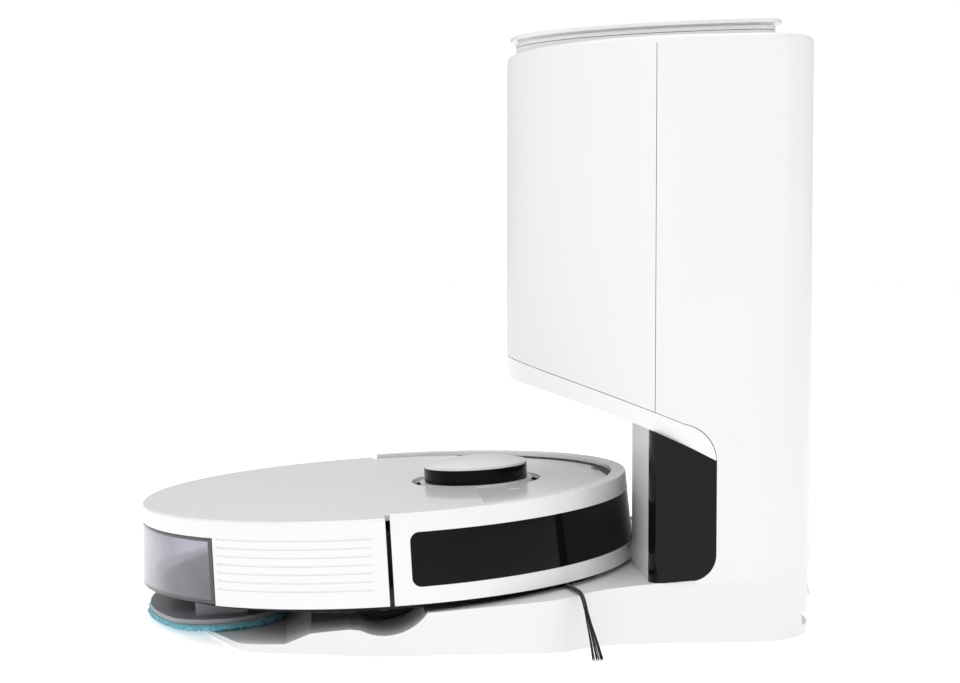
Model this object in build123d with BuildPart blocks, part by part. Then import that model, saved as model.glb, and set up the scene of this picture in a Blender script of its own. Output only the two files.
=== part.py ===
from build123d import *
import os
from math import cos, radians, sin, tan

os.makedirs("parts", exist_ok=True)

# A round robot vacuum with mop plate, parked nose-in on its self-emptying station.
# Millimetres, +Z up, +X is the way the robot drives in. Origin: centre of the footprint on the floor.

# ---------------------------------------------------------------- driving dimensions
overall_length = 470.0      # robot's tail to the cord hooks
tower_depth = 197.0         # front to back of the dust tower
tower_width = 296.0
tower_top = 396.0           # top of the tower at its front edge
top_slope = 1.6             # degrees, the top rises to the back
base_width = 348.0          # ramp, side to side
hook_reach = 11.0           # cord hooks stand behind the back wall
wall = 2.6                  # moulded walls of the station
body_r = 176.5              # robot's radius at its lower edge
body_h = 56.0               # robot's side wall
body_wall = 3.0             # moulded walls of the robot
wall_draft = 3.3            # degrees, the side wall narrows upwards
nose_up = 3.2               # degrees, robot's tilt on the ramp
ride_height = 33.0          # robot's lower edge above the floor, at its centre
wheel_r = 33.0              # driving wheel
running = 0.05              # radial clearance of shafts in bores
gap = 0.4                   # gap between covers

# ---------------------------------------------------------------- places that follow
back_x = overall_length / 2 - hook_reach
front_x = back_x - tower_depth
robot_x = -overall_length / 2 + body_r * cos(radians(nose_up))
lean = radians(nose_up)
ramp = Plane(origin=(robot_x, 0, ride_height), x_dir=(cos(lean), 0, sin(lean)), z_dir=(-sin(lean), 0, cos(lean)))
docked = Location(ramp)


def side_r(height, inset=0.0):
    """Radius of the robot's outer side wall at a height above its lower edge."""
    return body_r - height * tan(radians(wall_draft)) - inset


def side_cone(low, high, inset=0.0):
    """The robot's round body between two heights, drawn in by inset."""
    with BuildPart(mode=Mode.PRIVATE) as cone:
        with BuildSketch(Plane.XY.offset(low)):
            Circle(side_r(low, inset))
        with BuildSketch(Plane.XY.offset(high)):
            Circle(side_r(high, inset))
        loft()
    return cone.part


def block(x_span, y_span, z_span):
    """A box between three pairs of limits."""
    low = [min(span) for span in (x_span, y_span, z_span)]
    high = [max(span) for span in (x_span, y_span, z_span)]
    with BuildPart(mode=Mode.PRIVATE) as box:
        with BuildSketch(Plane.XY.offset(low[2])):
            with Locations(((low[0] + high[0]) / 2, (low[1] + high[1]) / 2)):
                Rectangle(high[0] - low[0], high[1] - low[1])
        extrude(amount=high[2] - low[2])
    return box.part


def rod(centre, radius, y_span):
    """A round bar along Y, through (x, z) = centre."""
    with BuildPart(mode=Mode.PRIVATE) as bar:
        with BuildSketch(Plane.XZ.offset(-max(y_span))):
            with Locations(centre):
                Circle(radius)
        extrude(amount=max(y_span) - min(y_span))
    return bar.part


def post(centre, radius, z_span):
    """A round bar along Z."""
    with BuildPart(mode=Mode.PRIVATE) as bar:
        with BuildSketch(Plane.XY.offset(z_span[0])):
            with Locations(centre):
                Circle(radius)
        extrude(amount=z_span[1] - z_span[0])
    return bar.part


def side_profile(points, half=400.0):
    """A slab with the given (x, z) outline, reaching half to each side."""
    with BuildPart(mode=Mode.PRIVATE) as slab:
        with BuildSketch(Plane.XZ):
            with BuildLine():
                Polyline(*points, close=True)
            make_face()
        extrude(amount=half, both=True)
    return slab.part


def robot_node(piece, name):
    """Label a piece built in the robot's own frame and stand it on the ramp."""
    piece.part.label = name
    piece.part.location = docked


# ================================================================ STATION
nose_length = 115.0         # the tower's front is half an ellipse this long
rear_corner = 50.0
half_tower = tower_width / 2
rise = tan(radians(top_slope))


def tower_plan(inset=0.0):
    """Plan of the tower: half-ellipse in front, rounded corners behind."""
    with BuildSketch(mode=Mode.PRIVATE) as plan:
        with BuildLine():
            Bezier(
                (front_x + inset, 0),
                (front_x + inset, -(half_tower - inset) * 0.552),
                (front_x + nose_length - (nose_length - inset) * 0.552, -half_tower + inset),
                (front_x + nose_length, -half_tower + inset),
            )
            Line((front_x + nose_length, -half_tower + inset), (back_x - rear_corner, -half_tower + inset))
            RadiusArc(
                (back_x - rear_corner, -half_tower + inset),
                (back_x - inset, -half_tower + rear_corner),
                -(rear_corner - inset),
            )
            Line((back_x - inset, -half_tower + rear_corner), (back_x - inset, 0))
            mirror(about=Plane.XZ)
        make_face()
    return plan.sketch


def tower_prism(inset, low, high):
    with BuildPart(mode=Mode.PRIVATE) as prism:
        with BuildSketch(Plane.XY.offset(low)):
            add(tower_plan(inset))
        extrude(amount=high - low)
    return prism.part


def top_band(low, high):
    """Slab between two heights above the tower's sloping top."""
    far = 600.0
    return side_profile([
        (front_x - far, tower_top + low - far * rise),
        (front_x + far, tower_top + low + far * rise),
        (front_x + far, tower_top + high + far * rise),
        (front_x - far, tower_top + high - far * rise),
    ])


# ---------------------------------------------------------------- ramp base
seam_x = back_x - 113.0     # upright seam between front cover and rear shell
neck_x = back_x - 116.0     # front face of the neck
panel_x = back_x - 73.0     # rear edge of the black neck panel
step_x = back_x - 87.0      # where the tower shell drops onto the base
base_top = 39.5             # height of the base at the neck's front
base_slope = 0.08
tail_x = robot_x - 141.0    # ramp's thin edge
scoop_r = wheel_r + 1.2
wheel_x = -8.0              # wheel centre in the robot's own frame
wheel_z = 15.0
bay_clear = 8.2             # the ramp follows the robot's underside this far down
chassis_drop = 5.0          # robot's flat underside, below its side wall
contact_x = 143.0           # charging contacts, in the robot's own frame
contact_y = 40.0
contact_l = 16.0
contact_w = 7.0
contact_deep = 6.0
contact_travel = 2.0
wheel_spot = docked * Location((wheel_x, 0, wheel_z))
scoop_centre = (wheel_spot.position.X, wheel_spot.position.Z)
port_x = (robot_x + 112, robot_x + 130)     # dust port under the robot's bin
port_y = (-60.0, -32.0)
duct_x = (back_x - 42, back_x - 14)         # dust duct, upright behind the bag
cover_t = 2.4                               # bottom cover plate
cover_inset = 13.0
hollow_x = robot_x + 151                    # the base is hollow from here back
foot_r = 7.0
foot_t = 1.2
foot_spots = [(x, side * y) for x, y in ((tail_x + 64, 100), (neck_x - 62, 148), (back_x - 30, 118))
              for side in (-1, 1)]


def base_height(x):
    return base_top + base_slope * (x - neck_x)


def base_plan(inset=0.0):
    """Plan of the base: wide ramp in front, narrowing to the tower behind."""
    half = base_width / 2 - inset
    rear = half_tower - 1.0 - inset
    with BuildSketch(mode=Mode.PRIVATE) as plan:
        with BuildLine():
            ThreePointArc((tail_x + inset, 0), (tail_x + 7 + inset, -60), (tail_x + 27 + inset, -118))
            Line((tail_x + 27 + inset, -118), (tail_x + 36 + inset, -half + 34))
            Spline((tail_x + 36 + inset, -half + 34), (tail_x + 97, -half + 8), (tail_x + 129, -half),
                   tangents=((0.4, -1), (1, 0)))
            Line((tail_x + 129, -half), (neck_x - 76, -half + 2))
            Spline((neck_x - 76, -half + 2), (neck_x - 42, -rear - 9), (neck_x + 4, -rear),
                   tangents=((1, 0), (1, 0)))
            Line((neck_x + 4, -rear), (back_x - rear_corner, -rear))
            RadiusArc((back_x - rear_corner, -rear), (back_x - 1 - inset, -half_tower + rear_corner),
                      -(rear_corner - inset))
            Line((back_x - 1 - inset, -half_tower + rear_corner), (back_x - 1 - inset, 0))
            mirror(about=Plane.XZ)
        make_face()
    return plan.sketch


def base_floor(inset, low, high):
    """Slab with the outline of the bottom cover, drawn in by inset."""
    with BuildPart(mode=Mode.PRIVATE) as slab:
        with BuildSketch(Plane.XY.offset(low)):
            add(base_plan(cover_inset + inset))
        extrude(amount=high - low)
        add(block((port_x[0] - 5 + inset, back_x), (inset - 100, 100 - inset), (low, high)), mode=Mode.INTERSECT)
    return slab.part


def hook(low, high, face_x):
    """Wedge-shaped lip that the spare cord is wound round."""
    with BuildPart(mode=Mode.PRIVATE) as lip:
        with BuildSketch(Plane.XZ):
            with BuildLine():
                Polyline((face_x - 1, high), (face_x + 2, high), (back_x + hook_reach - 2, low + 9),
                         (back_x + hook_reach, low), (face_x - 1, low), close=True)
            make_face()
        extrude(amount=62, both=True)
    return lip.part


with BuildPart() as station_base:
    with BuildSketch():
        add(base_plan())
    extrude(amount=80)
    add(side_profile([
        (tail_x - 5, -1), (tail_x - 5, 1.5), (tail_x, 1.5), (tail_x + 48, 5.2), (tail_x + 69, 6.4),
        (tail_x + 85, 13.4), (tail_x + 110, 17.1), (tail_x + 117, 16.7), (tail_x + 140, 16.7),
        (tail_x + 160, base_height(tail_x + 160)), (step_x, base_height(step_x)),
        (step_x, base_height(step_x) - 3.5), (back_x + 5, base_height(back_x) - 3.5), (back_x + 5, -1),
    ]), mode=Mode.INTERSECT)
    for side in (-1, 1):
        add(rod(scoop_centre, scoop_r, (side * 91, side * 200)), mode=Mode.SUBTRACT)
    # the bay that the robot's round underside drives into
    with BuildSketch(ramp.offset(-bay_clear)):
        Circle(168)
        with Locations((-150, 0)):
            Rectangle(300, 336)
    extrude(amount=60, mode=Mode.SUBTRACT)
    # trough for the main brush and castor, and the two wheel tracks
    add(block((robot_x - 20, robot_x + 52), (-91, 91), (13.5, 60)), mode=Mode.SUBTRACT)
    add(block((robot_x + 40, robot_x + 146), (-24, 24), (20.5, 60)), mode=Mode.SUBTRACT)
    for side in (-1, 1):
        add(block((tail_x + 86, scoop_centre[0]), (side * 91, side * 131), (13.2, 60)),
            mode=Mode.SUBTRACT)
    # hollow under the tower, and the channel from the dust port, both closed by the bottom cover
    add(base_floor(0, -1, cover_t), mode=Mode.SUBTRACT)
    add(base_floor(3, cover_t - 1, 30) & block((hollow_x, back_x), (-200, 200), (0, 40)), mode=Mode.SUBTRACT)
    add(block((port_x[0] - 1, hollow_x + 1), (port_y[0] - 1, port_y[1] + 1), (1, 26)), mode=Mode.SUBTRACT)
    add(block(port_x, port_y, (20, 60)), mode=Mode.SUBTRACT)
    add(block((duct_x[0] - gap, duct_x[1] + gap), (port_y[0] - gap, port_y[1] + gap), (20, 60)),
        mode=Mode.SUBTRACT)
    # cord groove under the lower hook, pockets for the feet and for the charging contacts
    add(block((back_x - 10, back_x + 20), (-200, 200), (6.5, 15)), mode=Mode.SUBTRACT)
    add(hook(16, 38, back_x - 1))
    with BuildSketch():
        with Locations(*foot_spots):
            Circle(foot_r + gap / 2)
    extrude(amount=foot_t, mode=Mode.SUBTRACT)
    for side in (-1, 1):
        with BuildSketch(ramp.offset(-bay_clear - contact_deep)):
            with Locations((contact_x, side * contact_y)):
                SlotOverall(contact_l + gap, contact_w + gap, rotation=90)
        extrude(amount=contact_deep + 5, mode=Mode.SUBTRACT)
station_base.part.label = "station_base"
export_step(station_base.part, "parts/station_base.step")

with BuildPart() as bottom_cover:
    add(base_floor(gap, 0, cover_t))
bottom_cover.part.label = "bottom_cover"
export_step(bottom_cover.part, "parts/bottom_cover.step")

with BuildPart() as rubber_feet:
    with BuildSketch():
        with Locations(*foot_spots):
            Circle(foot_r)
    extrude(amount=foot_t)
rubber_feet.part.label = "rubber_feet"
export_step(rubber_feet.part, "parts/rubber_feet.step")

with BuildPart() as port_seal:
    # rubber lip round the dust port, on the bay floor
    with BuildSketch(ramp.offset(-bay_clear)):
        with Locations(((port_x[0] + port_x[1]) / 2 - robot_x, (port_y[0] + port_y[1]) / 2)):
            RectangleRounded(port_x[1] - port_x[0] + 9, port_y[1] - port_y[0] + 9, 5)
            RectangleRounded(port_x[1] - port_x[0] + 2, port_y[1] - port_y[0] + 2, 3, mode=Mode.SUBTRACT)
    extrude(amount=bay_clear - chassis_drop - 0.6)
port_seal.part.label = "port_seal"
export_step(port_seal.part, "parts/port_seal.step")

for hand, side in (("left", 1), ("right", -1)):
    with BuildPart() as charge_contact:
        # sprung brass shoe, pressed down by the pad under the robot
        with BuildSketch(ramp.offset(-bay_clear - contact_deep + contact_travel + 0.5)):
            with Locations((contact_x, side * contact_y)):
                SlotOverall(contact_l, contact_w, rotation=90)
        extrude(amount=contact_deep - contact_travel - 0.5 + bay_clear - chassis_drop - 0.4)
    charge_contact.part.label = f"contact_{hand}"
    export_step(charge_contact.part, f"parts/contact_{hand}.step")

# ---------------------------------------------------------------- tower covers
frame_t = 5.0               # top frame, the covers end below it
seam_front_z = 182.0        # seam above the strip under the overhang, at the tower's front
under_front_z = 167.5       # underside of the overhang, at the front
chin_end = 120.7            # where that strip ends against the black neck panel
panel_corner = 17.0         # lower rear corner of the neck panel
neck_corner = 12.0
neck_deep_x = neck_x + 36.0 # the neck is set back this far beside its duct column
column_y = 64.0
panel_y = -half_tower + neck_corner


def outline_slab(edges):
    """A slab across the station from a closed run of edges in the XZ plane."""
    with BuildPart(mode=Mode.PRIVATE) as slab:
        with BuildSketch(Plane.XZ):
            with BuildLine():
                add(edges)
            make_face()
        extrude(amount=400, both=True)
    return slab.part


def chain(*points):
    """Straight edges from point to point."""
    with BuildLine(mode=Mode.PRIVATE) as run:
        Polyline(*points)
    return run.edges()


def overhang_curve(front_z, shift, end_x):
    """Line of the overhang seen from the side, from the front down to the neck panel."""
    with BuildLine(mode=Mode.PRIVATE) as run:
        ThreePointArc((front_x - 5, front_z + shift), (front_x + 57, front_z - 20 + shift),
                      (front_x + 103, front_z - 37.4 + shift))
        ThreePointArc((front_x + 103, front_z - 37.4 + shift), (end_x - 6, 136 + shift), (end_x, chin_end))
    return run.edges()


def under_curve(shift):
    with BuildLine(mode=Mode.PRIVATE) as run:
        ThreePointArc((front_x - 5, under_front_z + shift), (front_x + 64, under_front_z - 20 + shift),
                      (panel_x, chin_end + shift))
    return run.edges()


def below_seam(grow):
    """Everything under the covers' lower seam: overhang strip, neck panel and bay."""
    corner_z = base_height(panel_x - panel_corner)
    edge_x = panel_x + grow
    with BuildLine(mode=Mode.PRIVATE) as corner:
        RadiusArc((edge_x, corner_z + panel_corner), (panel_x - panel_corner, corner_z - grow),
                  panel_corner + grow)
    edges = overhang_curve(seam_front_z, grow, edge_x)
    edges += chain((edge_x, chin_end), (edge_x, corner_z + panel_corner))
    edges += corner.edges()
    edges += chain((panel_x - panel_corner, corner_z - grow), (panel_x - panel_corner, -5), (front_x - 5, -5),
                   (front_x - 5, seam_front_z + grow))
    return outline_slab(edges)


def below_underside():
    edges = under_curve(0) + chain((panel_x, chin_end), (panel_x, -5), (front_x - 5, -5),
                                   (front_x - 5, under_front_z))
    return outline_slab(edges)


def above_underside(shift):
    edges = under_curve(shift) + chain((panel_x, chin_end + shift), (panel_x, 500), (front_x - 5, 500),
                                       (front_x - 5, under_front_z + shift))
    return outline_slab(edges)


def neck_prism(inset, low, high):
    """The neck in plan: a duct column on the right, the rest set back to let the robot's nose in."""
    with BuildPart(mode=Mode.PRIVATE) as prism:
        with BuildSketch(Plane.XY.offset(low)):
            with Locations(((neck_x + back_x) / 2, 0)):
                RectangleRounded(back_x - neck_x - 2 * inset, tower_width - 2 * inset, neck_corner)
            with Locations((neck_deep_x + inset - 100, 150 - column_y - inset)):
                RectangleRounded(200, 300, 14, mode=Mode.SUBTRACT)
        extrude(amount=high - low)
    return prism.part


def tower_skin():
    """The tower's moulded wall before it is cut into covers."""
    return tower_prism(0, 20, 450) - tower_prism(wall, 10, 460)


def base_block():
    """Everything below the base's upper face under the tower."""
    return side_profile([
        (front_x - 5, -5), (front_x - 5, base_height(step_x)), (step_x, base_height(step_x)),
        (step_x, base_height(step_x) - 3.5), (back_x + 9, base_height(back_x + 9) - 3.5), (back_x + 9, -5),
    ])


with BuildPart() as front_cover:
    add(tower_skin())
    add(below_seam(gap), mode=Mode.SUBTRACT)
    add(top_band(-400, -frame_t), mode=Mode.INTERSECT)
    add(block((front_x - 9, seam_x), (-200, 200), (0, 500)), mode=Mode.INTERSECT)
front_cover.part.label = "front_cover"
export_step(front_cover.part, "parts/front_cover.step")

inlet_y = (70.0, 94.0)
inlet_z = (56.0, 76.0)
vent_count = 8
screw_spots = [(-78, 70), (-78, 330), (78, 330)]
screw_r = 3.2

with BuildPart() as rear_shell:
    add(tower_skin())
    add(below_seam(gap), mode=Mode.SUBTRACT)
    add(base_block(), mode=Mode.SUBTRACT)
    add(top_band(-400, -frame_t), mode=Mode.INTERSECT)
    add(block((seam_x + gap, back_x + 9), (-200, 200), (0, 500)), mode=Mode.INTERSECT)
    add(hook(96, 120, back_x))
    # power inlet, fan's outlet slots and screw holes in the back
    add(block((back_x - 9, back_x + 9), (inlet_y[0] - gap, inlet_y[1] + gap), (inlet_z[0] - gap, inlet_z[1] + gap)),
        mode=Mode.SUBTRACT)
    for slot in range(vent_count):
        add(block((back_x - 9, back_x + 9), (-40, 40), (52 + 5 * slot, 54.4 + 5 * slot)), mode=Mode.SUBTRACT)
    with BuildSketch(Plane.YZ.offset(back_x - wall - 1)):
        with Locations(*screw_spots):
            Circle(screw_r)
    extrude(amount=wall + 3, mode=Mode.SUBTRACT)
rear_shell.part.label = "rear_shell"
export_step(rear_shell.part, "parts/rear_shell.step")

with BuildPart() as tower_screws:
    with BuildSketch(Plane.YZ.offset(back_x - wall)):
        with Locations(*screw_spots):
            Circle(screw_r - 0.1)
            Rectangle(4.2, 0.9, mode=Mode.SUBTRACT)
            Rectangle(0.9, 4.2, mode=Mode.SUBTRACT)
    extrude(amount=1.4)
    with BuildSketch(Plane.YZ.offset(back_x - wall - 8)):
        with Locations(*screw_spots):
            Circle(1.6)
    extrude(amount=8)
tower_screws.part.label = "tower_screws"
export_step(tower_screws.part, "parts/tower_screws.step")

with BuildPart() as chin_strip:
    # tray under the overhang, its rim shows as a strip round the tower
    add(tower_prism(0, 100, 200))
    add(below_seam(0), mode=Mode.INTERSECT)
    add(above_underside(0), mode=Mode.INTERSECT)
    add(tower_prism(wall, 90, 210) & above_underside(wall), mode=Mode.SUBTRACT)
    add(neck_prism(2 * wall, 60, 210), mode=Mode.SUBTRACT)
chin_strip.part.label = "chin_strip"
export_step(chin_strip.part, "parts/chin_strip.step")

with BuildPart() as neck_wall:
    add(neck_prism(0, 30, 200) - neck_prism(wall, 20, 210))
    add(below_underside(), mode=Mode.INTERSECT)
    add(below_seam(0), mode=Mode.INTERSECT)
    add(side_profile([(front_x, base_height(front_x)), (back_x, base_height(back_x)), (back_x, 300), (front_x, 300)]),
        mode=Mode.INTERSECT)

for name, y_span in (("neck_panel", (-200, panel_y)), ("neck_front", (panel_y, 200))):
    # glossy black panel round the column's corner, white wall beyond it
    with BuildPart() as neck_piece:
        add(neck_wall.part)
        add(block((0, 300), y_span, (0, 300)), mode=Mode.INTERSECT)
    neck_piece.part.label = name
    export_step(neck_piece.part, f"parts/{name}.step")

# ---------------------------------------------------------------- top of the tower
lid_front = front_x + 2.0
lid_half = 112.0
lid_corner = 20.0
lid_inset = 4.0             # collar and the lid's band stand in from the lid's edge
groove_inset = 6.0
collar_h = 5.3
lid_layers = (5.7, 8.3, 9.8, 13.0)          # band, groove and plate above the sloping top
hinge_x = back_x - 21.5
hinge_z = tower_top + (hinge_x - front_x) * rise + 3.6
lid_back = hinge_x + 1.5
pin_r = 2.0
knuckle_r = 3.0
lug_y = (48.0, 61.6)
ear_y = (62.0, 71.0)
chamber_x = (front_x + 35, back_x - 46)
chamber_half = 88.0
chamber_floor = 186.0
chamber_t = 2.0


def upper_rim(piece):
    """Edges round a piece's sloping upper face."""
    return piece.faces().filter_by(lambda face: face.normal_at().Z > 0.9)[0].outer_wire().edges()


def lid_prism(inset, low, high):
    """Plan of the lid: half-ellipse in front, straight back with round corners, between two sloping levels."""
    with BuildPart(mode=Mode.PRIVATE) as prism:
        with BuildSketch(Plane.XY.offset(tower_top - 20)):
            with Locations((lid_back - lid_corner, 0)):
                Ellipse(lid_back - lid_corner - lid_front - inset, lid_half - inset)
            with Locations((lid_back - lid_corner + 200, 0)):
                Rectangle(400, 400, mode=Mode.SUBTRACT)
            with Locations((lid_back - lid_corner, 0)):
                RectangleRounded(2 * (lid_corner - inset), 2 * (lid_half - inset), lid_corner - inset - 0.01)
        extrude(amount=60)
        add(top_band(low, high), mode=Mode.INTERSECT)
    return prism.part


with BuildPart() as top_frame:
    add(tower_prism(0, 370, 450))
    add(top_band(-frame_t, 0), mode=Mode.INTERSECT)
    fillet(upper_rim(top_frame), frame_t - 0.8)
    add(lid_prism(lid_inset, -0.5, collar_h))
    # lugs for the hinge pins stand behind the collar, clear of the lid's ears
    for side in (-1, 1):
        add(block((hinge_x - 9, hinge_x + 9), (side * lug_y[1], side * (ear_y[1] + 0.6)), (hinge_z - 3.5, 450)),
            mode=Mode.SUBTRACT)
        add(rod((hinge_x, hinge_z), knuckle_r, (side * lug_y[0], side * lug_y[1])))
        add(block((hinge_x - knuckle_r, hinge_x + knuckle_r), (side * lug_y[0], side * lug_y[1]),
                  (hinge_z - 6, hinge_z)))
        add(rod((hinge_x, hinge_z), pin_r, (side * lug_y[0], side * lug_y[1])), mode=Mode.SUBTRACT)
    add(block((hinge_x - 4, hinge_x + 9), (-lug_y[0], lug_y[0]), (hinge_z - 1, 450)), mode=Mode.SUBTRACT)
    add(block((chamber_x[0] + chamber_t, chamber_x[1] - chamber_t),
              (-chamber_half + chamber_t, chamber_half - chamber_t), (300, 450))
        & lid_prism(groove_inset + 4, -20, 20), mode=Mode.SUBTRACT)
top_frame.part.label = "top_frame"
export_step(top_frame.part, "parts/top_frame.step")

with BuildPart() as lid:
    add(lid_prism(0, lid_layers[2], lid_layers[3]))
    fillet(upper_rim(lid), 1.2)
    add(lid_prism(groove_inset, lid_layers[1] - 0.2, lid_layers[2] + 0.2))
    add(lid_prism(lid_inset, lid_layers[0], lid_layers[1]))
    add(lid_prism(groove_inset + 8, lid_layers[0] - 1, lid_layers[2] - 0.5), mode=Mode.SUBTRACT)
    for side in (-1, 1):
        add(rod((hinge_x, hinge_z), knuckle_r, (side * ear_y[0], side * ear_y[1])))
        add(block((hinge_x - knuckle_r, hinge_x + 1.5), (side * ear_y[0], side * ear_y[1]),
                  (hinge_z, hinge_z + knuckle_r + 4)))
        add(rod((hinge_x, hinge_z), pin_r + running, (side * ear_y[0], side * ear_y[1])), mode=Mode.SUBTRACT)
lid.part.label = "lid"
export_step(lid.part, "parts/lid.step")

with BuildPart() as lid_pins:
    for side in (-1, 1):
        add(rod((hinge_x, hinge_z), pin_r, (side * lug_y[0], side * ear_y[1])))
lid_pins.part.label = "lid_pins"
export_step(lid_pins.part, "parts/lid_pins.step")

# ---------------------------------------------------------------- inside the tower
duct_wall = 2.0
duct_top = 350.0
duct_foot = base_height(duct_x[1]) - 3.5
bag_x = (chamber_x[0] + 8, chamber_x[1] - 10)
plate_t = 3.0
fan_spot = (back_x - 38, 38)
outlet_spot = (back_x - 58, 38)     # air leaves the bag chamber here

with BuildPart() as bag_chamber:
    add(block(chamber_x, (-chamber_half, chamber_half), (chamber_floor, 450)))
    add(block((chamber_x[0] + chamber_t, chamber_x[1] - chamber_t),
              (-chamber_half + chamber_t, chamber_half - chamber_t), (chamber_floor + chamber_t, 460)),
        mode=Mode.SUBTRACT)
    add(top_band(-400, -frame_t), mode=Mode.INTERSECT)
    # dust comes in through the back wall, air leaves through the floor
    add(block((chamber_x[1] - 9, chamber_x[1] + 9), (port_y[0] + duct_wall, port_y[1] - duct_wall),
              (duct_top - 26, duct_top - duct_wall)), mode=Mode.SUBTRACT)
    add(post(outlet_spot, 9, (chamber_floor - 9, chamber_floor + 9)), mode=Mode.SUBTRACT)
bag_chamber.part.label = "bag_chamber"
export_step(bag_chamber.part, "parts/bag_chamber.step")

with BuildPart() as air_duct:
    add(block(duct_x, port_y, (28, duct_top)))
    add(block((chamber_x[1], duct_x[1]), port_y, (duct_top - 28, duct_top)))
    add(block((duct_x[0] - 3, duct_x[1] + 3), (port_y[0] - 3, port_y[1] + 3), (duct_foot, duct_foot + 2)))
    add(block((duct_x[0] + duct_wall, duct_x[1] - duct_wall), (port_y[0] + duct_wall, port_y[1] - duct_wall),
              (20, duct_top - duct_wall)), mode=Mode.SUBTRACT)
    add(block((chamber_x[1] - 9, duct_x[1] - duct_wall), (port_y[0] + duct_wall, port_y[1] - duct_wall),
              (duct_top - 26, duct_top - duct_wall)), mode=Mode.SUBTRACT)
air_duct.part.label = "air_duct"
export_step(air_duct.part, "parts/air_duct.step")

with BuildPart() as bag_plate:
    # stiff collar of the dust bag, in front of the inlet
    add(block((chamber_x[1] - chamber_t - plate_t - 1, chamber_x[1] - chamber_t - 1), (-78, 10),
              (duct_top - 52, duct_top + 22)))
    fillet(bag_plate.edges().filter_by(Axis.X), 8)
    add(block((chamber_x[1] - 20, chamber_x[1]), (port_y[0] + duct_wall, port_y[1] - duct_wall),
              (duct_top - 26, duct_top - duct_wall)), mode=Mode.SUBTRACT)
bag_plate.part.label = "bag_plate"
export_step(bag_plate.part, "parts/bag_plate.step")

with BuildPart() as dust_bag:
    add(block((bag_x[0], chamber_x[1] - chamber_t - plate_t - 1.4), (-78, 78), (chamber_floor + 12, duct_top + 14)))
    fillet(dust_bag.edges().filter_by(Axis.Z), 22)
    fillet(dust_bag.faces().sort_by(Axis.Z)[0].edges(), 14)
dust_bag.part.label = "dust_bag"
export_step(dust_bag.part, "parts/dust_bag.step")

with BuildPart() as station_fan:
    add(post(fan_spot, 32, (base_height(back_x - 4) - 3.5, 150)))
    fillet(station_fan.faces().sort_by(Axis.Z)[-1].edges(), 8)
    add(post(outlet_spot, 12, (149, chamber_floor)))
    add(post(outlet_spot, 9, (120, chamber_floor + 5)), mode=Mode.SUBTRACT)
station_fan.part.label = "station_fan"
export_step(station_fan.part, "parts/station_fan.step")

with BuildPart() as station_board:
    board_foot = base_height(back_x - 30) - 3.5
    add(block((back_x - 80, back_x - 30), (-130, -70), (board_foot + 5, board_foot + 6.6)))
    with BuildSketch(Plane.XY.offset(board_foot + 2)):
        with Locations((back_x - 55, -100)):
            with GridLocations(40, 50, 2, 2):
                Circle(3)
    extrude(amount=3)
    with BuildSketch(Plane.XY.offset(board_foot + 6.6)):
        with Locations((back_x - 65, -112)):
            Rectangle(16, 22)
        with Locations((back_x - 42, -86)):
            Circle(8)
    extrude(amount=18)
station_board.part.label = "station_board"
export_step(station_board.part, "parts/station_board.step")

with BuildPart() as power_inlet:
    # two-pin appliance inlet in the tower's back
    add(block((back_x - 24, back_x - 0.3), inlet_y, inlet_z))
    with BuildSketch(Plane.YZ.offset(back_x - 17)):
        with Locations(((inlet_y[0] + inlet_y[1]) / 2, (inlet_z[0] + inlet_z[1]) / 2)):
            SlotOverall(15.6, 8.6)
    extrude(amount=40, mode=Mode.SUBTRACT)
    with BuildSketch(Plane.YZ.offset(back_x - 18)):
        with Locations(((inlet_y[0] + inlet_y[1]) / 2, (inlet_z[0] + inlet_z[1]) / 2)):
            with GridLocations(8.6, 1, 2, 1):
                Circle(1.2)
    extrude(amount=15)
power_inlet.part.label = "power_inlet"
export_step(power_inlet.part, "parts/power_inlet.step")

# ================================================================ ROBOT
# Built level in the robot's own frame: origin at its centre on the side wall's lower edge, +X is its nose.
deck_t = 3.5
deck_r = 159.5              # deck's edge, where the bumper's rim begins
bumper_x = -2.0             # the bumper wraps the front half
rim_r = 163.0
rim_h = 58.5
panel_front = bumper_x - 3.1
tank_x = -118.0             # water tank behind this
tank_top = 44.0
turret_x = 65.7
turret_r = 37.3
well_r = 46.4
flap_x = 61.7
flap_r = 159.5
flap_low = 51.5
flap_high = 54.5
flap_hinge = (64.0, 53.0)
flap_pin_r = 1.2
chassis_r = 165.0
chassis_t = 2.5
castor_spot = (122.0, 0.0)
brush_spot = (108.0, 108.0)
button_spot = (88.5, -50.8)
roller_x = 22.0
roller_z = 3.5
shaft_r = 3.0
wheel_y = (99.0, 125.0)
module_y = (88.5, 97.5)
pivot = (28.0, 20.0)
axle_r = 4.0

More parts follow.
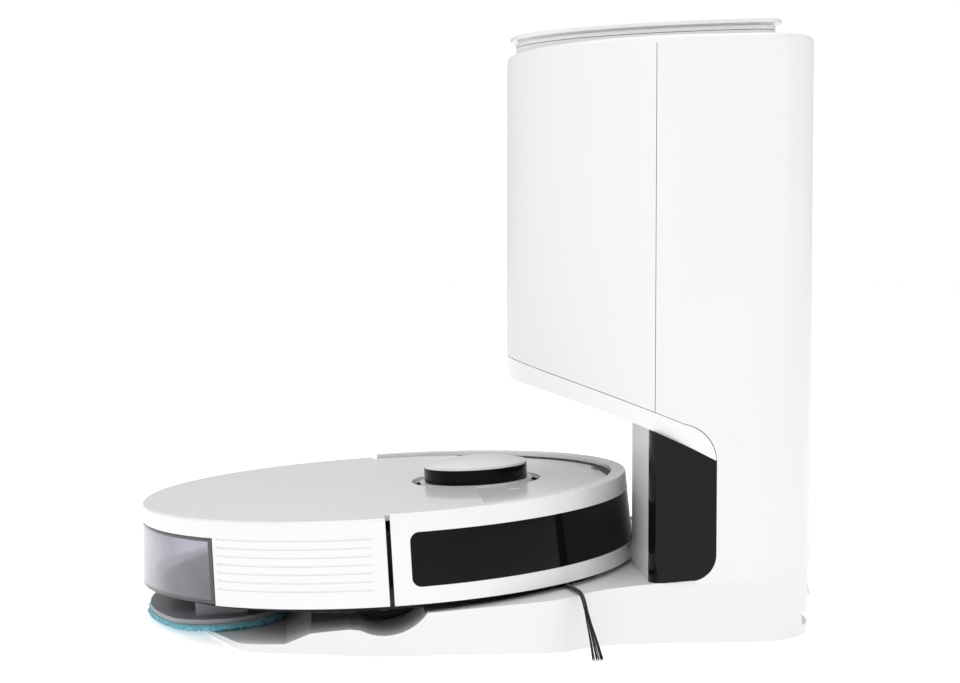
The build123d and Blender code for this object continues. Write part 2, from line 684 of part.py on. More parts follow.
with BuildPart() as robot_shell:
    add(side_cone(0, body_h))
    fillet(robot_shell.faces().sort_by(Axis.Z)[-1].edges(), 1.6)
    add(side_cone(-1, body_h - deck_t, body_wall), mode=Mode.SUBTRACT)
    # front half: only the deck stays, inside the bumper
    add(block((panel_front, 200), (-200, 200), (-1, body_h - deck_t)), mode=Mode.SUBTRACT)
    with BuildSketch(Plane.XY.offset(-5)):
        with Locations((panel_front + 200, 0)):
            Rectangle(400, 400)
        Circle(deck_r, mode=Mode.SUBTRACT)
    extrude(amount=80, mode=Mode.SUBTRACT)
    add(block((flap_x, 200), (-200, 200), (-5, 80)), mode=Mode.SUBTRACT)
    add(post((turret_x, 0), well_r, (-5, 80)), mode=Mode.SUBTRACT)
    # the tank closes the back under the deck's skirt
    add(block((-200, tank_x), (-200, 200), (-5, tank_top)), mode=Mode.SUBTRACT)
    # ribbed grip on each side
    for groove in range(7):
        height = 11.2 + 5.4 * groove
        add((side_cone(height - 0.6, height + 0.6, -2) - side_cone(height - 0.6, height + 0.6, 0.5))
            & block((tank_x + 3, -15), (-200, 200), (0, 60)), mode=Mode.SUBTRACT)
    # bosses for the flap's pins
    for side in (-1, 1):
        add(block((flap_x - 4, 68.5), (side * 141.6, side * 146), (49.5, 55)))
        add(block((flap_x - 4, flap_x), (side * 139, side * 144), (50, 54)))
        add(rod(flap_hinge, flap_pin_r + running, (side * 141, side * 147)), mode=Mode.SUBTRACT)
robot_node(robot_shell, "robot_shell")
export_step(robot_shell.part, "parts/robot_shell.step")

with BuildPart() as flap:
    with BuildSketch(Plane.XY.offset(flap_low)):
        Circle(flap_r)
        with Locations((flap_x + 0.8 - 200, 0)):
            Rectangle(400, 400, mode=Mode.SUBTRACT)
        with Locations((turret_x, 0)):
            Circle(well_r, mode=Mode.SUBTRACT)
        for side in (-1, 1):
            with Locations((flap_x, side * 147.5)):
                Rectangle(16, 14, mode=Mode.SUBTRACT)
        with Locations(button_spot):
            SlotOverall(21.6, 9.6, rotation=90, mode=Mode.SUBTRACT)
    extrude(amount=flap_high - flap_low)
    # finger recess in the front edge, and the two pins
    with BuildSketch(Plane.XY.offset(flap_high - 1.4)):
        with Locations((flap_r + 2, -16)):
            SlotOverall(100, 18, rotation=90)
    extrude(amount=5, mode=Mode.SUBTRACT)
    for side in (-1, 1):
        add(rod(flap_hinge, flap_pin_r, (side * 139, side * 145.5)))
robot_node(flap, "flap")
export_step(flap.part, "parts/flap.step")

with BuildPart() as power_button:
    with BuildSketch(Plane.XY.offset(flap_low - 1.4)):
        with Locations(button_spot):
            SlotOverall(24, 12, rotation=90)
    extrude(amount=1.3)
    with BuildSketch(Plane.XY.offset(flap_low - 0.5)):
        with Locations(button_spot):
            SlotOverall(21, 9, rotation=90)
    extrude(amount=flap_high - flap_low + 0.9)
robot_node(power_button, "power_button")
export_step(power_button.part, "parts/power_button.step")

with BuildPart() as bumper:
    add(side_cone(0, rim_h))
    fillet(bumper.faces().sort_by(Axis.Z)[-1].edges(), 1.2)
    add(side_cone(-1, rim_h - 3, body_wall), mode=Mode.SUBTRACT)
    add(post((0, 0), rim_r, (-5, 80)), mode=Mode.SUBTRACT)
    add(block((-200, bumper_x), (-200, 200), (-5, 80)), mode=Mode.SUBTRACT)
    with BuildSketch(Plane.XZ):
        with Locations((110, 28.5)):
            RectangleRounded(200, 35, 6)
    extrude(amount=200, both=True, mode=Mode.SUBTRACT)
robot_node(bumper, "bumper")
export_step(bumper.part, "parts/bumper.step")

with BuildPart() as bumper_window:
    add(side_cone(5, 52, 0.2) - side_cone(4, 53, body_wall - 0.4))
    with BuildSketch(Plane.XZ):
        with Locations((110, 28.5)):
            RectangleRounded(199.7, 34.7, 5.9)
    extrude(amount=200, both=True, mode=Mode.INTERSECT)
robot_node(bumper_window, "bumper_window")
export_step(bumper_window.part, "parts/bumper_window.step")

# ---------------------------------------------------------------- turret
with BuildPart() as turret_base:
    add(post((turret_x, 0), 48, (47.1, 49.3)))
    add(post((turret_x, 0), 40.5, (49.3, 55.4)))
    add(post((turret_x, 0), 39, (30, 47.1)))
    add(post((turret_x, 0), turret_r - 0.6, (33, 60)), mode=Mode.SUBTRACT)
    add(post((turret_x, 0), shaft_r + running, (29, 34)), mode=Mode.SUBTRACT)
robot_node(turret_base, "turret_base")
export_step(turret_base.part, "parts/turret_base.step")

with BuildPart() as lidar_rotor:
    add(post((turret_x, 0), 30, (36, 52)))
    add(block((turret_x - 12, turret_x + 22), (-16, 16), (52, 64)))
    add(post((turret_x, 0), shaft_r, (30.5, 36)))
    for side in (-1, 1):
        with BuildSketch(Plane.YZ.offset(turret_x + 21)):
            with Locations((side * 8, 58)):
                Circle(4)
        extrude(amount=4)
robot_node(lidar_rotor, "lidar_rotor")
export_step(lidar_rotor.part, "parts/lidar_rotor.step")

with BuildPart() as turret_window:
    add(post((turret_x, 0), turret_r, (56.3, 66)))
    add(post((turret_x, 0), turret_r - 1, (49, 56.3)))
    add(post((turret_x, 0), turret_r - 2, (48, 67)), mode=Mode.SUBTRACT)
robot_node(turret_window, "turret_window")
export_step(turret_window.part, "parts/turret_window.step")

with BuildPart() as turret_cap:
    # shallow dome with a straight edge
    with BuildSketch(Plane.XZ):
        with BuildLine():
            ThreePointArc((turret_x, 71.8), (turret_x + 20, 70.6), (turret_x + turret_r, 67.5))
            Line((turret_x + turret_r, 67.5), (turret_x + turret_r, 66))
            Line((turret_x + turret_r, 66), (turret_x, 66))
            Line((turret_x, 66), (turret_x, 71.8))
        make_face()
    revolve(axis=Axis((turret_x, 0, 0), (0, 0, 1)))
robot_node(turret_cap, "turret_cap")
export_step(turret_cap.part, "parts/turret_cap.step")

# ---------------------------------------------------------------- chassis
tunnel_x = (roller_x - 23, roller_x + 23)
tunnel_half = 84.0
tunnel_top = 23.5
castor_r = 19.0
mop_front = -76.0

with BuildPart() as chassis:
    with BuildSketch(Plane.XY.offset(-chassis_drop)):
        Circle(chassis_r - 5)
    with BuildSketch():
        Circle(chassis_r)
    loft()
    add(post((0, 0), chassis_r, (0, 10)))
    add(post((0, 0), side_r(3) - body_wall - 0.3, (0.4, 3)) & block((-200, panel_front - 1), (-200, 200), (0, 9)))
    add(post((0, 0), chassis_r - chassis_t - 2, (-chassis_drop + chassis_t, 20)), mode=Mode.SUBTRACT)
    # room for the water tank behind
    add(block((-200, tank_x + 1), (-200, 200), (-1, 20)), mode=Mode.SUBTRACT)
    # tunnel for the main brush, castor housing, side brush bearings and the turret's pillar
    add(block((tunnel_x[0] - chassis_t, tunnel_x[1] + chassis_t), (-tunnel_half - 4, tunnel_half + 4),
              (-chassis_drop + 1, tunnel_top + chassis_t)))
    add(block(tunnel_x, (-tunnel_half, tunnel_half), (-9, tunnel_top)), mode=Mode.SUBTRACT)
    add(post(castor_spot, castor_r + 3, (-chassis_drop + 1, 10)))
    add(post(castor_spot, castor_r + 0.5, (-9, 3.5)), mode=Mode.SUBTRACT)
    add(post(castor_spot, shaft_r + running, (0, 20)), mode=Mode.SUBTRACT)
    add(block((turret_x - 9, turret_x + 9), (-15, 15), (-chassis_drop + 1, 30)))
    for side in (-1, 1):
        spot = (brush_spot[0], side * brush_spot[1])
        add(post(spot, 8, (-chassis_drop + 1, 1)))
        add(post(spot, shaft_r + running, (-9, 9)), mode=Mode.SUBTRACT)
        add(post(spot, 13.3, (1, 20)), mode=Mode.SUBTRACT)
        add(block((wheel_x - wheel_r - 2, wheel_x + wheel_r + 2), (side * 93, side * 131), (-9, 20)),
            mode=Mode.SUBTRACT)
        add(rod((roller_x, roller_z), shaft_r + running, (side * (tunnel_half - 1), side * (tunnel_half + 9))),
            mode=Mode.SUBTRACT)
        add(rod(pivot, axle_r + running, (side * (tunnel_half + 0.4), side * (tunnel_half + 9))),
            mode=Mode.SUBTRACT)
        # pockets for the charging pads and the cliff sensors
        add(block((contact_x - 4.5, contact_x + 4.5), (side * (contact_y - 9), side * (contact_y + 9)), (-9, -4.2)),
            mode=Mode.SUBTRACT)
        for spot in ((140, side * 62), (-8, side * 146)):
            add(post(spot, 5, (-9, -4)), mode=Mode.SUBTRACT)
robot_node(chassis, "chassis")
export_step(chassis.part, "parts/chassis.step")

with BuildPart() as charge_pads:
    for side in (-1, 1):
        add(block((contact_x - 4.4, contact_x + 4.4), (side * (contact_y - 8.9), side * (contact_y + 8.9)),
                  (-chassis_drop, -4.2)))
robot_node(charge_pads, "charge_pads")
export_step(charge_pads.part, "parts/charge_pads.step")

with BuildPart() as cliff_sensors:
    for side in (-1, 1):
        for spot in ((140, side * 62), (-8, side * 146)):
            add(post(spot, 4.9, (-chassis_drop, -4)))
robot_node(cliff_sensors, "cliff_sensors")
export_step(cliff_sensors.part, "parts/cliff_sensors.step")

# ---------------------------------------------------------------- castor and brushes
castor_wheel_spot = (castor_spot[0] - 5, -9.0)
castor_wheel_r = 8.0

with BuildPart() as castor_fork:
    add(post(castor_spot, castor_r, (0, 3)))
    add(post(castor_spot, shaft_r, (3, 10)))
    for side in (-1, 1):
        add(block((castor_wheel_spot[0] - 7, castor_wheel_spot[0] + 9), (side * 8.5, side * 11), (-11, 0)))
        add(rod(castor_wheel_spot, 2 + running, (side * 8, side * 12)), mode=Mode.SUBTRACT)
robot_node(castor_fork, "castor_fork")
export_step(castor_fork.part, "parts/castor_fork.step")

with BuildPart() as castor_wheel:
    add(rod(castor_wheel_spot, castor_wheel_r, (-8, 8)))
    fillet(castor_wheel.edges().filter_by(GeomType.CIRCLE), 1.5)
    add(rod(castor_wheel_spot, 2, (-10.8, 10.8)))
robot_node(castor_wheel, "castor_wheel")
export_step(castor_wheel.part, "parts/castor_wheel.step")

with BuildPart() as main_brush:
    with BuildSketch(Plane.XZ.offset(-80)):
        with Locations((roller_x, roller_z)):
            Circle(14)
            with PolarLocations(16, 6):
                Rectangle(5, 2)
    extrude(amount=160)
    add(rod((roller_x, roller_z), shaft_r, (-86, 86)))
robot_node(main_brush, "main_brush")
export_step(main_brush.part, "parts/main_brush.step")

with BuildPart() as brush_guard:
    with BuildSketch(Plane.XY.offset(-6.3)):
        with Locations((roller_x, 0)):
            RectangleRounded(54, 178, 5)
            RectangleRounded(40, 164, 3, mode=Mode.SUBTRACT)
    extrude(amount=6.3 - chassis_drop)
robot_node(brush_guard, "brush_guard")
export_step(brush_guard.part, "parts/brush_guard.step")

with BuildPart() as brush_gearbox:
    add(block((tunnel_x[0] - chassis_t - 27, tunnel_x[0] - chassis_t), (-80, -40), (-chassis_drop + chassis_t, 24)))
    fillet(brush_gearbox.edges().filter_by(Axis.Z), 4)
robot_node(brush_gearbox, "brush_gearbox")
export_step(brush_gearbox.part, "parts/brush_gearbox.step")

arm_low = -7.6
arm_t = 1.1
arm_w = 7.0
hub_r = 10.0
arms = {38: 46.0, 158: 66.0}                # heading and reach of the two arms under the robot
tuft_tip = (robot_x + 125, 200.0)           # third arm lies over the base's edge, down to the floor
for hand, side in (("left", 1), ("right", -1)):
    spot = (brush_spot[0], side * brush_spot[1])
    with BuildPart() as side_brush:
        add(post(spot, hub_r, (arm_low - 0.1, -5.3)))
        add(post(spot, shaft_r, (-5.3, 1)))
    robot_node(side_brush, f"side_brush_{hand}")
    export_step(side_brush.part, f"parts/side_brush_{hand}.step")

    with BuildPart(mode=Mode.PRIVATE) as flat_arms:
        for turn, reach in arms.items():
            heading = Vector(cos(radians(turn)), -side * sin(radians(turn)), 0)
            middle = Vector(spot[0], spot[1], arm_low) + heading * ((hub_r + 0.2 + reach) / 2)
            with BuildSketch(Plane(origin=middle, x_dir=heading, z_dir=(0, 0, 1))):
                Rectangle(reach - hub_r - 0.2, arm_w)
            extrude(amount=arm_t)
    hub = docked * Location((spot[0], spot[1], arm_low))
    start = Vector(hub.position.X, hub.position.Y, 0)
    sideways = Vector(tuft_tip[0], side * tuft_tip[1], 0) - start
    lip = base_height(start.X) + 0.6
    route = [(hub_r + 0.2, hub.position.Z + 0.1), (hub_r + 5, lip), (55, lip + 1), (62, lip - 2),
             (74, 20), (sideways.length, 0.4)]
    with BuildPart() as side_bristles:
        add(flat_arms.part.moved(docked))
        with BuildSketch(Plane(origin=start, x_dir=sideways, z_dir=sideways.cross(Vector(0, 0, 1)))):
            with BuildLine():
                Polyline(*route, *[(reach, height + arm_t) for reach, height in reversed(route)], close=True)
            make_face()
        extrude(amount=arm_w / 2, both=True)
    side_bristles.part.label = f"side_bristles_{hand}"
    export_step(side_bristles.part, f"parts/side_bristles_{hand}.step")

    with BuildPart() as side_brush_motor:
        add(post(spot, 13, (1, 24)))
        fillet(side_brush_motor.faces().sort_by(Axis.Z)[-1].edges(), 3)
    robot_node(side_brush_motor, f"side_brush_motor_{hand}")
    export_step(side_brush_motor.part, f"parts/side_brush_motor_{hand}.step")

# ---------------------------------------------------------------- driving wheels
tread_count = 30
for hand, side in (("left", 1), ("right", -1)):
    inner = side * wheel_y[0]
    outer = side * wheel_y[1]
    with BuildPart() as drive_wheel:
        add(rod((wheel_x, wheel_z), wheel_r - 6, (inner, outer)))
        add(rod((wheel_x, wheel_z), axle_r + running, (side * 90, side * 121.3)), mode=Mode.SUBTRACT)
    robot_node(drive_wheel, f"drive_wheel_{hand}")
    export_step(drive_wheel.part, f"parts/drive_wheel_{hand}.step")

    with BuildPart() as tyre:
        with BuildSketch(Plane.XZ.offset(-max(inner, outer))):
            with Locations((wheel_x, wheel_z)):
                Circle(wheel_r)
                Circle(wheel_r - 6, mode=Mode.SUBTRACT)
                with PolarLocations(wheel_r, tread_count):
                    Rectangle(3.6, 2.6, mode=Mode.SUBTRACT)
        extrude(amount=abs(outer - inner))
    robot_node(tyre, f"tyre_{hand}")
    export_step(tyre.part, f"parts/tyre_{hand}.step")

    with BuildPart() as wheel_module:
        # gearbox that swings about its pivot, with the wheel's axle
        add(block((-25, 32), (side * module_y[0], side * module_y[1]), (3, 40)))
        fillet(wheel_module.edges().filter_by(Axis.Y), 6)
        add(rod(pivot, axle_r, (side * (tunnel_half + 0.8), side * module_y[0])))
        add(rod((wheel_x, wheel_z), axle_r, (side * module_y[1], side * 121)))
    robot_node(wheel_module, f"wheel_module_{hand}")
    export_step(wheel_module.part, f"parts/wheel_module_{hand}.step")

# ---------------------------------------------------------------- inside the robot
floor_top = -chassis_drop + chassis_t

with BuildPart() as fan_unit:
    add(post((-70, -75), 34, (floor_top, 34)))
    fillet(fan_unit.faces().sort_by(Axis.Z)[-1].edges(), 6)
    add(post((-70, -75), 16, (30, 40)))
robot_node(fan_unit, "fan_unit")
export_step(fan_unit.part, "parts/fan_unit.step")

with BuildPart() as battery:
    add(block((-112, -46), (-34, 86), (floor_top, 38)))
    fillet(battery.edges().filter_by(Axis.Y), 5)
robot_node(battery, "battery")
export_step(battery.part, "parts/battery.step")

with BuildPart() as main_board:
    add(block((-110, 0), (-86, 60), (40, 41.6)))
    with BuildSketch(Plane.XY.offset(41.6)):
        with Locations((-20, 0)):
            with GridLocations(24, 30, 2, 3):
                Rectangle(12, 12)
    extrude(amount=2)
    with BuildSketch(Plane.XY.offset(38)):
        with Locations((-79, 26)):
            with GridLocations(50, 50, 2, 2):
                Circle(3)
    extrude(amount=2)
robot_node(main_board, "main_board")
export_step(main_board.part, "parts/main_board.step")

bin_x = (63.2, 150.0)
bin_wall = 2.0
with BuildPart() as dust_bin:
    add(block(bin_x, (-84, 84), (10, 47)))
    add(post((0, 0), 150, (0, 60)), mode=Mode.INTERSECT)
    add(post((turret_x, 0), 41.5, (0, 60)), mode=Mode.SUBTRACT)
    add(block((bin_x[0] + bin_wall, bin_x[1]), (-82, 82), (10 + bin_wall, 60))
        & post((0, 0), 148, (0, 60)) - post((turret_x, 0), 43.5, (0, 60)), mode=Mode.SUBTRACT)
robot_node(dust_bin, "dust_bin")
export_step(dust_bin.part, "parts/dust_bin.step")

with BuildPart() as dust_filter:
    # pleated filter in its frame, standing in the bin
    with BuildSketch(Plane.XY.offset(10 + bin_wall)):
        with Locations((bin_x[0] + bin_wall + 9, 64)):
            Rectangle(14, 34)
    extrude(amount=30)
    with BuildSketch(Plane.XY.offset(10 + bin_wall + 30)):
        with Locations((bin_x[0] + bin_wall + 9, 64)):
            Rectangle(10, 30)
            with GridLocations(0, 4, 1, 7):
                Rectangle(10, 1.6, mode=Mode.SUBTRACT)
    extrude(amount=2)
robot_node(dust_filter, "dust_filter")
export_step(dust_filter.part, "parts/dust_filter.step")

tank_low = 0.8
tank_high = tank_top - 0.8
tank_wall = 2.0
with BuildPart() as water_tank:
    add(side_cone(tank_low, tank_high))
    add(block((-200, tank_x - 0.6), (-200, 200), (0, 60)), mode=Mode.INTERSECT)
    add(side_cone(tank_low + tank_wall, tank_high - tank_wall, tank_wall)
        & block((-200, tank_x - 0.6 - tank_wall), (-200, 200), (0, 60)), mode=Mode.SUBTRACT)
    add(post((tank_x - 20, 30), 9, (30, 60)), mode=Mode.SUBTRACT)
robot_node(water_tank, "water_tank")
export_step(water_tank.part, "parts/water_tank.step")

with BuildPart() as tank_plug:
    # rubber stopper of the filling hole
    add(post((tank_x - 20, 30), 8.9, (tank_high - tank_wall - 3, tank_high)))
    add(post((tank_x - 20, 30), 5, (tank_high - 1, tank_high)), mode=Mode.SUBTRACT)
    add(block((tank_x - 25, tank_x - 15), (28.8, 31.2), (tank_high - 1, tank_high)))
robot_node(tank_plug, "tank_plug")
export_step(tank_plug.part, "parts/tank_plug.step")


def mop_outline(inset):
    """Half-moon of the mop, with round front corners."""
    with BuildSketch(mode=Mode.PRIVATE) as plan:
        Circle(body_r - 3 - inset)
        with Locations((mop_front - inset - 200, 0)):
            Rectangle(400, 400, mode=Mode.INTERSECT)
        fillet(plan.vertices(), 40)
    return plan.sketch


with BuildPart() as mop_plate:
    with BuildSketch(Plane.XY.offset(-18)):
        add(mop_outline(1.5))
    extrude(amount=3)
    for y in (-70, 70):
        add(block((-135, -100), (y - 12, y + 12), (-16, -chassis_drop - 0.2)))
robot_node(mop_plate, "mop_plate")
export_step(mop_plate.part, "parts/mop_plate.step")

with BuildPart() as mop_pad:
    with BuildSketch(Plane.XY.offset(-21.5)):
        add(mop_outline(0))
    extrude(amount=3.3)
robot_node(mop_pad, "mop_pad")
export_step(mop_pad.part, "parts/mop_pad.step")
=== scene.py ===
import math

import bmesh
import bpy
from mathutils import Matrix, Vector, noise


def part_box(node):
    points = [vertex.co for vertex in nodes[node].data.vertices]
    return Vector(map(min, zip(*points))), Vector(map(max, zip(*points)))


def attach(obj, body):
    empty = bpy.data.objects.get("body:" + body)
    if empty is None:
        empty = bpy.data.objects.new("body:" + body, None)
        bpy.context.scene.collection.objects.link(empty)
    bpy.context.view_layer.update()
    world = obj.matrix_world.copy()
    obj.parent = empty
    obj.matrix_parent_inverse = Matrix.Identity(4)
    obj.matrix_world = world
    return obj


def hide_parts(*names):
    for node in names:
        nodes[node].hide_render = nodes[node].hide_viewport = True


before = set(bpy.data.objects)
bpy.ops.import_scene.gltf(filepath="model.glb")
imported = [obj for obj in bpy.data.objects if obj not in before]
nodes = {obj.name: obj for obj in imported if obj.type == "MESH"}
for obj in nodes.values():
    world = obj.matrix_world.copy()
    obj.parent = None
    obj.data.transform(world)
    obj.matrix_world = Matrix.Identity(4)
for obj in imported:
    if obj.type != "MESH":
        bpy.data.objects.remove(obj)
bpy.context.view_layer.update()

# Camera, floor and studio light.
# The part stands docked on a plain pale floor, seen low from its right side with the tower at the right,
# under one big soft light high on the left, a wide light overhead and a weak one on the right.
eye = Vector((-0.102, -1.446, 0.2727))
look_yaw = 0.075
look_down = 0.056
look = Vector((math.sin(look_yaw) * math.cos(look_down), math.cos(look_yaw) * math.cos(look_down),
               -math.sin(look_down)))
camera_data = bpy.data.cameras.new("camera")
camera_data.lens = 75.5
camera_data.sensor_width = 36
camera = bpy.data.objects.new("camera", camera_data)
camera.location = eye
camera.rotation_euler = look.to_track_quat("-Z", "Y").to_euler()
bpy.context.scene.collection.objects.link(camera)
bpy.context.scene.camera = camera
bpy.context.scene.view_settings.view_transform = "Standard"


def new_object(name, mesh):
    piece = bpy.data.objects.new(name, mesh)
    bpy.context.scene.collection.objects.link(piece)
    return piece


def new_material(name):
    """A material with its Principled shader, ready for nodes."""
    material = bpy.data.materials.new(name)
    material.use_nodes = True
    return material, material.node_tree, material.node_tree.nodes["Principled BSDF"]


floor_half = 9
floor_level = -0.0002
floor_corners = [(-floor_half, -floor_half, floor_level), (floor_half, -floor_half, floor_level),
                 (floor_half, floor_half, floor_level), (-floor_half, floor_half, floor_level)]
floor_mesh = bpy.data.meshes.new("studio_floor")
floor_mesh.from_pydata(floor_corners, [], [(0, 1, 2, 3)])
studio_floor = new_object("studio_floor", floor_mesh)
floor_paint, floor_tree, floor_shader = new_material("floor_paint")
floor_noise = floor_tree.nodes.new("ShaderNodeTexNoise")
floor_noise.inputs["Scale"].default_value = 2.0
floor_place = floor_tree.nodes.new("ShaderNodeTexCoord")
floor_ramp = floor_tree.nodes.new("ShaderNodeMapRange")
floor_ramp.inputs["To Min"].default_value = 0.62
floor_ramp.inputs["To Max"].default_value = 0.7
floor_tree.links.new(floor_place.outputs["Object"], floor_noise.inputs["Vector"])
floor_tree.links.new(floor_noise.outputs["Fac"], floor_ramp.inputs["Value"])
floor_tree.links.new(floor_ramp.outputs["Result"], floor_shader.inputs["Roughness"])
floor_shader.inputs["Base Color"].default_value = (0.93, 0.93, 0.93, 1)
floor_shader.inputs["Emission Color"].default_value = (1, 1, 1, 1)
floor_shader.inputs["Emission Strength"].default_value = 0.45
floor_mesh.materials.append(floor_paint)


def soft_light(name, place, aim, size, power):
    lamp = bpy.data.lights.new(name, "AREA")
    lamp.shape = "RECTANGLE"
    lamp.size = size[0]
    lamp.size_y = size[1]
    lamp.energy = power
    light = bpy.data.objects.new(name, lamp)
    light.location = place
    light.rotation_euler = (Vector(aim) - Vector(place)).to_track_quat("-Z", "Y").to_euler()
    bpy.context.scene.collection.objects.link(light)


soft_light("key_light", (-1.3, -1.9, 1.5), (0, 0, 0.15), (1.4, 1.4), 10)
soft_light("top_light", (0, 0.1, 2.2), (0, 0, 0), (2.2, 2.2), 23)
soft_light("right_light", (1.9, -1.3, 0.8), (0.1, 0, 0.2), (0.7, 1.4), 3)
studio_world = bpy.data.worlds.new("studio_world")
studio_world.use_nodes = True
world_light = studio_world.node_tree.nodes["Background"]
world_light.inputs["Color"].default_value = (1, 1, 1, 1)
world_path = studio_world.node_tree.nodes.new("ShaderNodeLightPath")
world_dim = studio_world.node_tree.nodes.new("ShaderNodeMapRange")
world_dim.inputs["To Min"].default_value = 0.6
world_dim.inputs["To Max"].default_value = 1.05
world_mirror = studio_world.node_tree.nodes.new("ShaderNodeMapRange")
world_mirror.inputs["To Max"].default_value = 0.5
studio_world.node_tree.links.new(world_path.outputs["Is Camera Ray"], world_dim.inputs["Value"])
studio_world.node_tree.links.new(world_path.outputs["Is Glossy Ray"], world_mirror.inputs["Value"])
studio_world.node_tree.links.new(world_dim.outputs["Result"], world_mirror.inputs["To Min"])
studio_world.node_tree.links.new(world_mirror.outputs["Result"], world_light.inputs["Strength"])
bpy.context.scene.world = studio_world


# Station base.
# One satin ABS moulding with a ramp and wheel wells that the robot parks on.
# A flat ABS cover closes it from below, and it stands on soft rubber feet.
def group_socket(tree, name, way, kind, value=None):
    socket = tree.interface.new_socket(name=name, in_out=way, socket_type=kind)
    if value is not None:
        socket.default_value = value
    return socket


moulded_surface = bpy.data.node_groups.new("moulded_surface", "ShaderNodeTree")
group_socket(moulded_surface, "Colour", "INPUT", "NodeSocketColor", (0.8, 0.8, 0.8, 1))
group_socket(moulded_surface, "Flow Colour", "INPUT", "NodeSocketColor", (0.75, 0.75, 0.75, 1))
group_socket(moulded_surface, "Grain Scale", "INPUT", "NodeSocketFloat", 1800)
group_socket(moulded_surface, "Smoothest", "INPUT", "NodeSocketFloat", 0.3)
group_socket(moulded_surface, "Roughest", "INPUT", "NodeSocketFloat", 0.45)
group_socket(moulded_surface, "Surface Colour", "OUTPUT", "NodeSocketColor")
group_socket(moulded_surface, "Surface Roughness", "OUTPUT", "NodeSocketFloat")
group_socket(moulded_surface, "Grain Height", "OUTPUT", "NodeSocketFloat")
surface_in = moulded_surface.nodes.new("NodeGroupInput")
surface_out = moulded_surface.nodes.new("NodeGroupOutput")
surface_place = moulded_surface.nodes.new("ShaderNodeTexCoord")
surface_grain = moulded_surface.nodes.new("ShaderNodeTexNoise")
surface_grain.inputs["Detail"].default_value = 3
surface_flow = moulded_surface.nodes.new("ShaderNodeTexNoise")
surface_flow.inputs["Scale"].default_value = 9
surface_flow.inputs["Detail"].default_value = 4
surface_tint = moulded_surface.nodes.new("ShaderNodeMix")
surface_tint.data_type = "RGBA"
surface_rough = moulded_surface.nodes.new("ShaderNodeMapRange")
surface_links = moulded_surface.links
surface_links.new(surface_place.outputs["Object"], surface_grain.inputs["Vector"])
surface_links.new(surface_place.outputs["Object"], surface_flow.inputs["Vector"])
surface_links.new(surface_in.outputs["Grain Scale"], surface_grain.inputs["Scale"])
surface_links.new(surface_flow.outputs["Fac"], surface_tint.inputs[0])
surface_links.new(surface_in.outputs["Colour"], surface_tint.inputs[6])
surface_links.new(surface_in.outputs["Flow Colour"], surface_tint.inputs[7])
surface_links.new(surface_flow.outputs["Fac"], surface_rough.inputs["Value"])
surface_links.new(surface_in.outputs["Smoothest"], surface_rough.inputs["To Min"])
surface_links.new(surface_in.outputs["Roughest"], surface_rough.inputs["To Max"])
surface_links.new(surface_tint.outputs[2], surface_out.inputs["Surface Colour"])
surface_links.new(surface_rough.outputs["Result"], surface_out.inputs["Surface Roughness"])
surface_links.new(surface_grain.outputs["Fac"], surface_out.inputs["Grain Height"])


def moulded(name, colour, flow_colour, grain, rough, depth, coat=0.0, metal=0.0, specular=0.5):
    """A moulded finish: colour that drifts a little with the flow of the melt, and a fine grain."""
    material, tree, shader = new_material(name)
    surface = tree.nodes.new("ShaderNodeGroup")
    surface.node_tree = moulded_surface
    surface.inputs["Colour"].default_value = (*colour, 1)
    surface.inputs["Flow Colour"].default_value = (*flow_colour, 1)
    surface.inputs["Grain Scale"].default_value = grain
    surface.inputs["Smoothest"].default_value = rough[0]
    surface.inputs["Roughest"].default_value = rough[1]
    bump = tree.nodes.new("ShaderNodeBump")
    bump.inputs["Strength"].default_value = 0.6
    bump.inputs["Distance"].default_value = depth
    tree.links.new(surface.outputs["Surface Colour"], shader.inputs["Base Color"])
    tree.links.new(surface.outputs["Surface Roughness"], shader.inputs["Roughness"])
    tree.links.new(surface.outputs["Grain Height"], bump.inputs["Height"])
    tree.links.new(bump.outputs["Normal"], shader.inputs["Normal"])
    shader.inputs["Coat Weight"].default_value = coat
    shader.inputs["Coat Roughness"].default_value = 0.04
    shader.inputs["Metallic"].default_value = metal
    shader.inputs["Specular IOR Level"].default_value = specular
    return material


def dress(material, *names):
    """Gives carried-over nodes their finish."""
    for name in names:
        for slot in nodes[name].material_slots:
            slot.material = material


satin_white = moulded("satin_white", (0.84, 0.84, 0.845), (0.81, 0.81, 0.82), 1900, (0.34, 0.44), 0.00002)
foot_rubber = moulded("foot_rubber", (0.05, 0.05, 0.052), (0.07, 0.07, 0.07), 900, (0.6, 0.8), 0.00004)
dress(satin_white, "station_base", "bottom_cover")
dress(foot_rubber, "rubber_feet", "port_seal")

# Charging contacts.
# Two sprung plates of pressed brass stand out of the ramp, under the robot's own steel pads.
# Their springs push them up and the robot's weight presses them down by 2 mm at most.
brass_plate = moulded("brass_plate", (0.78, 0.55, 0.22), (0.68, 0.45, 0.17), 400, (0.18, 0.34), 0.00001,
                      metal=1.0)
dress(brass_plate, "contact_left", "contact_right")

